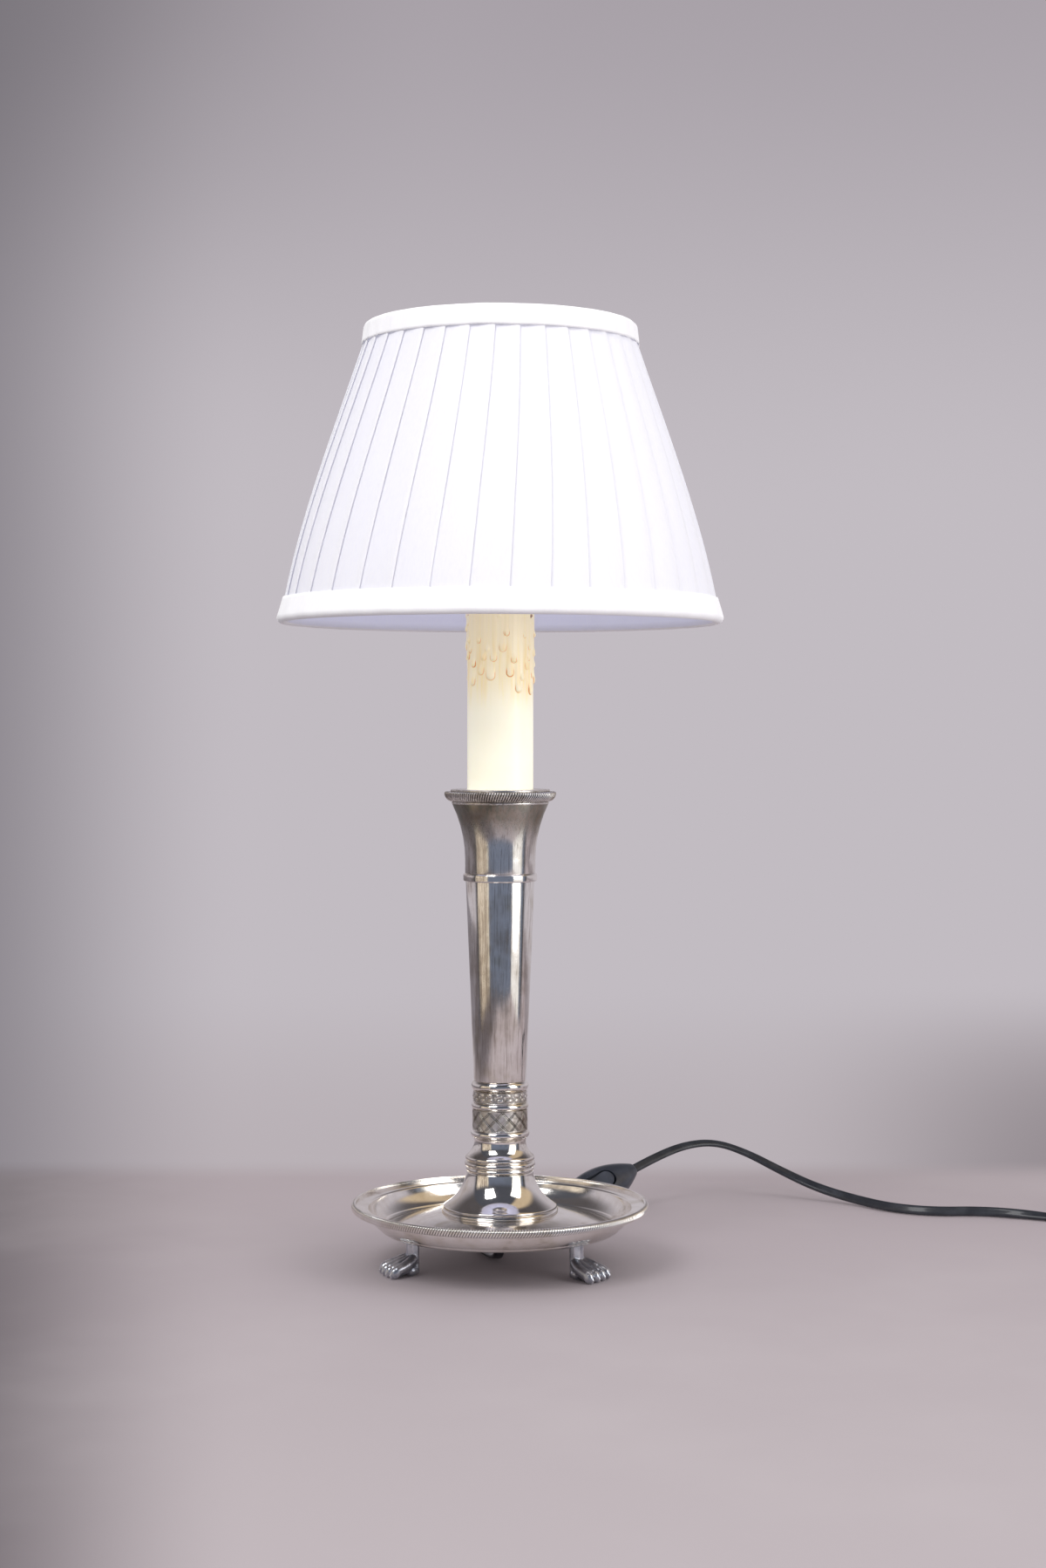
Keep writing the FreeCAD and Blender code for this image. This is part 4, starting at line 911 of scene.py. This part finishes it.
paws = {
    "turn": -6.5, "tip": 68.2, "toes": 4, "toePitch": 5.4,
    "stemBack": 51.1, "stemDepth": 6.0, "stemWidth": 9.0, "voxel": 0.42,
    "places": {"paw_foot_left": 210, "paw_foot_right": 330, "paw_foot_rear": 90},
}


def addBall(work, centre, radii):
    matrix = Matrix.Translation(centre) @ Matrix.Diagonal((*radii, 1))
    bmesh.ops.create_icosphere(work, subdivisions=3, radius=1, matrix=matrix)


# One cast paw pointing along +X, in mm: four knuckled toes with claws under
# a faceted stem
def pawMesh():
    w = paws
    work = bmesh.new()
    front = w["stemBack"] + w["stemDepth"]
    for toe in range(w["toes"]):
        y = (toe - (w["toes"] - 1) / 2) * w["toePitch"]
        tip = w["tip"] - abs(y) * 0.12
        line = [(front - 1.5, 0.5 * y, 9.0, 2.8), (w["tip"] - 9.0, 0.78 * y, 7.3, 2.9),
                (w["tip"] - 5.5, 0.92 * y, 6.0, 2.85), (w["tip"] - 2.0, 0.98 * y, 4.7, 2.75),
                (tip, y, 2.9, 2.7)]
        for (ax, ay, az, ar), (bx, by, bz, br) in zip(line, line[1:]):
            for i in range(6):
                t = i / 6
                centre = (ax + (bx - ax) * t, ay + (by - ay) * t, az + (bz - az) * t)
                addBall(work, centre, [ar + (br - ar) * t] * 3)
        addBall(work, (tip + 0.3, y, 3.4), (3.0, 2.55, 3.3))
        addBall(work, (tip + 2.4, y * 1.01, 2.2), (1.5, 1.1, 2.0))
    for y in (-3.4, 0, 3.4):
        addBall(work, (front - 1.0, y, 3.0), (3.6, 3.0, 3.0))
    # the pad that joins the toes
    for y in (-5.4, 0, 5.4):
        for i in range(9):
            t = i / 8
            centre = (front - 1 + (w["tip"] - 3 - front) * t, y * (0.6 + 0.4 * t), 5.4 - 2.2 * t)
            addBall(work, centre, [2.8] * 3)
    # stem with eased edges, its top inside the tray's wall
    half, ease = w["stemWidth"] / 2, 1.2
    section = [(w["stemBack"], -half + ease), (w["stemBack"] + ease, -half), (front - 1.8, -half),
               (front, -half + 2.6), (front, half - 2.6), (front - 1.8, half),
               (w["stemBack"] + ease, half), (w["stemBack"], half - ease)]
    bottom = [work.verts.new((x, y, 1.0)) for x, y in section]
    top = [work.verts.new((x, y, 27.2 - 0.31 * (x - w["stemBack"]))) for x, y in section]
    work.faces.new(bottom[::-1])
    work.faces.new(top)
    for i in range(len(section)):
        j = (i + 1) % len(section)
        work.faces.new((bottom[i], bottom[j], top[j], top[i]))
    mesh = bpy.data.meshes.new("paw")
    work.to_mesh(mesh)
    work.free()
    holder = addObject("paw", mesh)
    remesh = holder.modifiers.new("skin", "REMESH")
    remesh.mode = "VOXEL"
    remesh.voxel_size = w["voxel"]
    smooth = holder.modifiers.new("cast", "SMOOTH")
    smooth.factor, smooth.iterations = 0.5, 2
    applyModifiers(holder)
    points = [vertex.co.copy() for vertex in holder.data.vertices]
    faces = [tuple(face.vertices) for face in holder.data.polygons]
    bpy.data.objects.remove(holder)
    return points, faces


def makePaws():
    points, faces = pawMesh()
    for name, angle in paws["places"].items():
        turn = Matrix.Rotation(math.radians(angle + paws["turn"]), 3, "Z")
        placed = []
        for point in points:
            x, y, z = turn @ point
            placed.append((x * mm, y * mm, max(z, 0) * mm))
        piece = addMesh(name + "_finished", placed, faces, finishes["cast"], 80)
        seat(piece, "stand", "silver_plate", name)
    print("paws cast")


# runs of wax: angle round the sleeve, length from its top, and half width
candle = {
    "radius": 18.85, "wall": 1.55, "around": 420, "rowStep": 0.42, "waxFrom": 66, "body": 0.35,
    "runs": [
        (-178, 33, 2.2), (-160, 38, 1.8), (-146, 53, 2.3), (-126, 47, 2.2), (-107, 50, 2.6),
        (-86, 34, 2.0), (-73, 48, 2.1), (-57, 57, 2.0), (-37, 44, 1.9), (-25, 58, 2.3),
        (-10, 36, 1.9), (8, 52, 2.4), (27, 41, 2.0), (45, 55, 2.2), (64, 37, 2.1),
        (83, 49, 2.5), (101, 43, 1.9), (120, 57, 2.2), (141, 40, 2.1), (161, 51, 2.3)],
}


# every run of the first list, and smaller ones on and beside them
def waxRuns():
    chance = random.Random(7)
    runs = []
    for angle, length, half in candle["runs"]:
        runs.append((angle, length, half, 1.25, chance.uniform(0.5, 1)))
        runs.append((angle + chance.uniform(3, 7), length - chance.uniform(6, 13),
                     half * 0.72, 1.45, chance.uniform(0.4, 1)))
        runs.append((angle - chance.uniform(3, 8), length - chance.uniform(15, 24),
                     half * 0.62, 1.2, chance.uniform(0.1, 0.9)))
    return runs


# how far the wax stands out, and how ochre it is, at a place on the sleeve
def waxAt(runs, degrees, fromTop):
    out, ochre = 0, 0
    for angle, length, half, thick, stain in runs:
        apart = (degrees - angle + 180) % 360 - 180
        if abs(apart) > 16:
            continue
        d = abs(math.radians(apart)) * candle["radius"]
        s = length - fromTop
        if s < -1:
            continue
        if s < half:
            rho = math.hypot(d, half - s) / half
        else:
            rho = d / (half * (1 + min(s - half, 24) * 0.012))
        if rho < 1:
            blob = math.exp(-((s - half) / (1.5 * half)) ** 2)
            out = max(out, (thick * (0.42 + 0.58 * blob)) * math.sqrt(1 - rho * rho))
        ring = math.exp(-((rho - 1.0) / 0.16) ** 2)
        fade = 1 if s < 1.4 * half else math.exp(-(s - 1.4 * half) / (1.6 * half))
        ochre = max(ochre, stain * ring * fade)
    return out, ochre


def makeCandle():
    c = candle
    runs = waxRuns()
    low, top = heights("candle_sleeve")
    count = int(c["waxFrom"] / c["rowStep"])
    rows = [low, low + 1] + [top - c["waxFrom"] + c["rowStep"] * i for i in range(count)] + [top]
    points, stains = [], []
    for z in rows:
        fromTop = top - z
        for step in range(c["around"]):
            degrees = 360 * step / c["around"]
            out, ochre = waxAt(runs, degrees, fromTop)
            angle = math.radians(degrees)
            coat = c["body"] * min(1, max(0, (46 - fromTop) / 10))
            ripple = noise.noise((math.cos(angle) * 5, math.sin(angle) * 5, fromTop * 0.03)) * 0.25 * coat
            radius = (c["radius"] + max(out, coat + ripple)) * mm
            points.append((radius * math.cos(angle), radius * math.sin(angle), z * mm))
            stains.append(ochre)
    bore = (c["radius"] - c["wall"]) * mm
    for z in (top, low):
        for step in range(c["around"]):
            angle = 2 * math.pi * step / c["around"]
            points.append((bore * math.cos(angle), bore * math.sin(angle), z * mm))
            stains.append(0)
    faces = gridFaces(len(rows) + 2, c["around"], True)
    piece = addMesh("candle_sleeve_finished", points, faces, finishes["wax"], 80, mend=True)
    stain = piece.data.attributes.new("ochre", "FLOAT", "POINT")
    stain.data.foreach_set("value", stains)
    seat(piece, "stand", "candle_ivory", "candle_sleeve")
    print("candle dripped")


shade = {
    "pleats": 36, "underlap": 4.0, "depth": 1.4, "firstPleat": 7.5, "twist": 5.3,
    "foot": 368.2, "height": 170.2, "cloth": 0.3, "rows": 44,
    "levels": [(8.3, 124.3), (31.8, 119.3), (91.3, 101.7), (163.3, 76.8)],
    # a band runs from its edge to its wire and on over it, between two angles
    "grip": 3.15, "bandCloth": 0.4, "bandAround": 432,
    "bands": {
        "foot": {"wire": (124.15, 371.45), "edge": (123.7, 382.8), "over": (-80, -162), "pucker": 0.25},
        "top": {"wire": (74.95, 535.25), "edge": (78.9, 526.4), "over": (90, 190), "pucker": 0.3}},
    # the lining's foot is an arc; its flat width is taken at liningWide, in metres
    "lining": [(120.6, 369.4), ((118.2, 376.6), (115.5, 384.2))], "liningTop": (70.3, 533.0),
    "liningRows": 26, "liningAround": 360, "liningWide": 0.118,
}


# radius of the folds' crests at a height above the shade's foot
def crestRadius(rise):
    total = 0
    for at, radius in shade["levels"]:
        share = radius
        for other, _ in shade["levels"]:
            if other != at:
                share *= (rise - other) / (at - other)
        total += share
    return total


# how far a fold strays from its even place, in radians
def strayAt(count, rise):
    return noise.noise((count % shade["pleats"] * 3.7, rise * 0.012, 1.5)) * 0.006


# One ring of the pleated cover. Each pleat's panel rises to its crest, turns
# back under itself and comes forward again as the next panel.
def pleatRing(rise):
    s = shade
    crest = crestRadius(rise)
    lean = s["firstPleat"] - s["twist"] * (1 - (rise - 15) / (s["height"] - 30)) - 90
    under = s["underlap"] / crest
    panel = 2 * math.pi / s["pleats"]
    z = (s["foot"] + rise) * mm
    ring = []
    for count in range(s["pleats"]):
        belly = noise.noise((count * 2.3, rise * 0.015, 8.5)) * 0.3 + 0.25
        step = s["depth"] * (1 + 0.2 * noise.noise((count * 1.9, rise * 0.02, 4.0)))
        start = math.radians(lean) + panel * count + strayAt(count, rise)
        end = math.radians(lean) + panel * (count + 1) + strayAt(count + 1, rise)
        turn = 0.5 / crest
        section = [(start - under, step * 0.62), (start - under * 0.97, step * 0.9),
                   (start - under * 0.5, step)]
        for i in range(9):
            t = i / 8
            section.append((start + (end - start - turn) * t + turn * 0.2 * (1 - t),
                            step * (1 - t) ** 1.1 * (1 - 0.15 * t) - belly * math.sin(math.pi * t)))
        section += [(end, 0.1), (end + turn * 0.1, 0.3), (end - turn * 0.6, 0.62),
                    (end - under * 0.5, step * 0.38)]
        for angle, inset in section:
            radius = (crest - 0.2 - inset) * mm
            ring.append((radius * math.cos(angle), radius * math.sin(angle), z))
    return ring


def makeCover():
    s = shade
    low, high = s["levels"][0][0], s["levels"][-1][0]
    rows = [pleatRing(low + (high - low) * row / (s["rows"] - 1)) for row in range(s["rows"])]
    cover = roundSheet("shade_cover_finished", rows, s["cloth"], finishes["shade"])
    seat(cover, "shade", "shade_cloth", "shade_cover")
    middle = rows[s["rows"] // 2]
    width = sum((Vector(a) - Vector(b)).length for a, b in zip(middle, middle[1:] + middle[:1]))
    slant = math.hypot(high - low, s["levels"][0][1] - s["levels"][-1][1]) * mm
    return width, slant


# angle at which a line from the edge touches the cloth round a wire
def touchAngle(centre, edge, distance):
    across, up = edge[0] - centre[0], edge[1] - centre[1]
    spread = math.acos(distance / math.hypot(across, up))
    direction = math.atan2(up, across)
    return math.degrees(direction - spread if up > 0 else direction + spread)


def onWire(centre, degrees, distance):
    return (centre[0] + distance * math.cos(math.radians(degrees)),
            centre[1] + distance * math.sin(math.radians(degrees)))


# A band of cloth along an open outline, puckered a little by the folds under it
def clothBand(name, outline, pucker, finish):
    points = flatOutline(outline)
    rows = []
    around = shade["bandAround"]
    for i, (radius, height) in enumerate(points):
        share = i / (len(points) - 1)
        row = []
        for step in range(around):
            angle = 2 * math.pi * step / around
            wave = math.sin(angle * shade["pleats"] + 0.6) * pucker * (1 - share) ** 2
            wave += noise.noise((math.cos(angle) * 7, math.sin(angle) * 7, height * 0.08)) * 0.22
            r = (radius + wave) * mm
            z = height + noise.noise((math.cos(angle) * 4, math.sin(angle) * 4, 3.0)) * 0.35 * (1 - share)
            row.append((r * math.cos(angle), r * math.sin(angle), z * mm))
        rows.append(row)
    band = roundSheet(name, rows, shade["bandCloth"], finish)
    length = sum(math.dist(a, b) for a, b in zip(points, points[1:]))
    return band, (2 * math.pi * sum(r for r, z in points) / len(points) * mm, length * mm)


def makeBands():
    out = shade["grip"] - shade["cloth"]
    sizes = []
    for name, b in shade["bands"].items():
        edge, touch = b["edge"], onWire(b["wire"], touchAngle(b["wire"], b["edge"], out), out)
        outline = [(edge[0] + (touch[0] - edge[0]) * i / 6, edge[1] + (touch[1] - edge[1]) * i / 6)
                   for i in range(7)]
        outline.append(tuple(onWire(b["wire"], degrees, out) for degrees in b["over"]))
        piece = "shade_" + name + "_band"
        band, flat = clothBand(piece + "_finished", outline, b["pucker"], finishes["band"])
        seat(band, "shade", "shade_cloth", piece)
        sizes.append(flat)
    return sizes


# a cone with a curved foot, drawn in a little between the six struts
def makeLining():
    s = shade
    points = flatOutline(s["lining"])
    low, high, count = s["lining"][-1][-1], s["liningTop"], s["liningRows"]
    points += [(low[0] + (high[0] - low[0]) * i / count, low[1] + (high[1] - low[1]) * i / count)
               for i in range(1, count + 1)]
    rows = []
    for radius, height in points:
        row = []
        for step in range(s["liningAround"]):
            angle = 2 * math.pi * step / s["liningAround"]
            creep = noise.noise((math.cos(angle) * 3, math.sin(angle) * 3, height * 0.02)) * 0.5
            tuck = math.sin(angle * 6 + math.pi / 2) * 0.5 + creep
            r = (radius - 0.5 + min(tuck, 0.4)) * mm
            row.append((r * math.cos(angle), r * math.sin(angle), height * mm))
        rows.append(row)
    lining = roundSheet("shade_lining_finished", rows, s["cloth"], finishes["lining"])
    seat(lining, "shade", "shade_lining", "shade_lining")
    size = (2 * math.pi * s["liningWide"], sum(math.dist(a, b) for a, b in zip(points, points[1:])) * mm)
    area = sum(math.pi * (a[0] + b[0]) * math.dist(a, b) for a, b in zip(points, points[1:])) * mm * mm
    return size


# the in-line switch, in mm and degrees; a level is a height and the growth there
switch = {
    "place": (61.5, 154.5, 15.0), "axis": (24.5, 21.5, 9.1), "roll": 40,
    "length": 68, "width": 27, "endWidth": 7.6, "thickness": 19, "endThickness": 7.0, "endRound": 1.0,
    "mouth": (24.8, 12.2), "mouthLevels": [(1.0, 1), (8.0, 1), (9.2, 1.03), (12, 1.1)],
    "rocker": (22.6, 10.8), "rockerLevels": [(1.8, 1), (7.6, 1), (8.1, 0.985), (8.4, 0.95)],
    "dishRadius": 26, "dishMiddle": 32.4, "dishHalf": 16, "dishTop": 40, "pivot": 3.2, "tilt": -7,
    "square": 2.35, "rings": 56, "sides": 56, "seam": 0.12, "crease": 38,
}


# the switch's own frame: X along the lead, Z out of its face
def switchFrame():
    along = Vector(switch["axis"]).normalized()
    up = (Vector((0, 0, 1)) - along * along.z).normalized()
    front = along.cross(up)
    if front.y > 0:
        front = -front
    roll = math.radians(switch["roll"])
    face = up * math.cos(roll) + front * math.sin(roll)
    turn = Matrix((along, face.cross(along), face)).transposed()
    return Matrix.Translation(Vector(switch["place"])) @ turn.to_4x4()


def slotOutline(length, width, count=14):
    radius = width / 2
    reach = length / 2 - radius
    outline = []
    for side, first in ((1, -90), (-1, 90)):
        for i in range(count + 1):
            angle = math.radians(first + 180 * i / count)
            outline.append((side * reach + radius * math.cos(angle), radius * math.sin(angle)))
    return outline


# solid through rings of points, flat at both ends
def loftRings(name, rings, material, crease=40):
    size = len(rings[0])
    points = [tuple(point) for ring in rings for point in ring]
    faces = [tuple(range(size))] + gridFaces(len(rings), size)
    faces.append(tuple(range(len(points) - size, len(points))))
    return addMesh(name, points, faces, material, crease, mend=True)


# a ring of the body at a place along it, its last millimetre rounded off
def bodyRing(x):
    s = switch
    half = s["length"] / 2
    bow = 1 - (x / half) ** 2
    wide = (s["endWidth"] + (s["width"] - s["endWidth"]) * bow) / 2
    deep = (s["endThickness"] + (s["thickness"] - s["endThickness"]) * bow) / 2
    close = min(1, max(0, (half - abs(x)) / s["endRound"]))
    shrink = 0.78 + 0.22 * math.sqrt(1 - (1 - close) ** 2)
    angles = [2 * math.pi * (i + 0.5) / s["sides"] for i in range(s["sides"])]
    power = 2 / s["square"]
    return [(x, wide * shrink * squared(math.cos(a), power), deep * shrink * squared(math.sin(a), power))
            for a in angles]


# half of the body on one side of the seam
def halfBody(name, side, material):
    s = switch
    half = s["length"] / 2
    places = [half * math.sin(math.pi / 2 * (2 * i / (s["rings"] - 1) - 1)) for i in range(s["rings"])]
    body = loftRings(name, [bodyRing(x) for x in places], material)
    work = bmesh.new()
    work.from_mesh(body.data)
    cut = bmesh.ops.bisect_plane(
        work, geom=work.verts[:] + work.edges[:] + work.faces[:], dist=1e-5,
        plane_co=(0, 0, side * s["seam"]), plane_no=(0, 0, -side), clear_outer=True)
    edges = [item for item in cut["geom_cut"] if isinstance(item, bmesh.types.BMEdge)]
    bmesh.ops.contextual_create(work, geom=edges)
    bmesh.ops.recalc_face_normals(work, faces=work.faces)
    work.to_mesh(body.data)
    work.free()
    return body


def cutOut(piece, cutter):
    cut = piece.modifiers.new("cut", "BOOLEAN")
    cut.operation, cut.object, cut.solver = "DIFFERENCE", cutter, "EXACT"
    applyModifiers(piece)
    bpy.data.objects.remove(cutter)


def slotSolid(name, size, levels):
    rings = [[(x * grow, y * grow, z) for x, y in slotOutline(*size)] for z, grow in levels]
    return loftRings(name, rings, finishes["switch"])


def putInPlace(piece, matrix):
    piece.data.transform(Matrix.Scale(mm, 4) @ matrix)
    piece.data.shade_smooth()
    piece.data.set_sharp_from_angle(angle=math.radians(switch["crease"]))
    return piece


def makeSwitch():
    s = switch
    matrix = switchFrame()
    cover = halfBody("switch_cover_finished", 1, finishes["switch"])
    base = halfBody("switch_base_finished", -1, finishes["switch"])
    # the mouth flares at its top, so that its rim is eased
    cutOut(cover, slotSolid("mouth", s["mouth"], s["mouthLevels"]))
    rocker = slotSolid("switch_rocker_finished", s["rocker"], s["rockerLevels"])
    # a round hollow across the rocker's face
    half, top = s["dishHalf"], s["dishTop"]
    hollow = [(x, s["dishMiddle"] - math.sqrt(s["dishRadius"] ** 2 - x * x)) for x in range(-half, half + 1)]
    dish = [[(x, y, z) for x, z in hollow + [(half, top), (-half, top)]] for y in (-12, 12)]
    cutOut(rocker, loftRings("dish", dish, finishes["switch"]))
    pivot = Matrix.Translation((0, 0, s["pivot"]))
    tilt = pivot @ Matrix.Rotation(math.radians(s["tilt"]), 4, "Y") @ pivot.inverted()
    seat(putInPlace(cover, matrix), "stand", "black_plastic", "switch_cover")
    seat(putInPlace(base, matrix), "stand", "black_plastic", "switch_base")
    seat(putInPlace(rocker, matrix @ tilt), "rocker", "black_plastic", "switch_rocker")
    print("switch moulded")


makeColumn()
makeRopes()
makeCollars()
makeTray()
makePaws()
makeCandle()
coverSize = makeCover()
bandSizes = makeBands()
liningSize = makeLining()
print("shade sewn:", coverSize, bandSizes, liningSize)
makeSwitch()

# the finish of the frame's own pieces, by their material slot
slotFinish = {
    "silver_plate": "turned", "steel": "steel", "holder_plastic": "holder", "holder_ceramic": "ceramic",
    "brass": "brass", "nickel": "nickel", "black_plastic": "switch", "black_lead": "lead",
    "wire_cover": "wire", "candle_ivory": "wax", "shade_cloth": "shade", "shade_lining": "lining",
    "frame_white": "frame", "bulb_metal": "cap", "bulb_glass": "glass",
}


def finishFrame():
    for part in frame["record"]["subparts"]:
        node = nodes.get(part["node"])
        if node and part.get("material_slot") in slotFinish:
            for slot in node.material_slots:
                slot.material = finishes[slotFinish[part["material_slot"]]]


finishFrame()
pathLength(lampLine)
pathLength(plugLine)
print("finishes given to the frame's pieces")
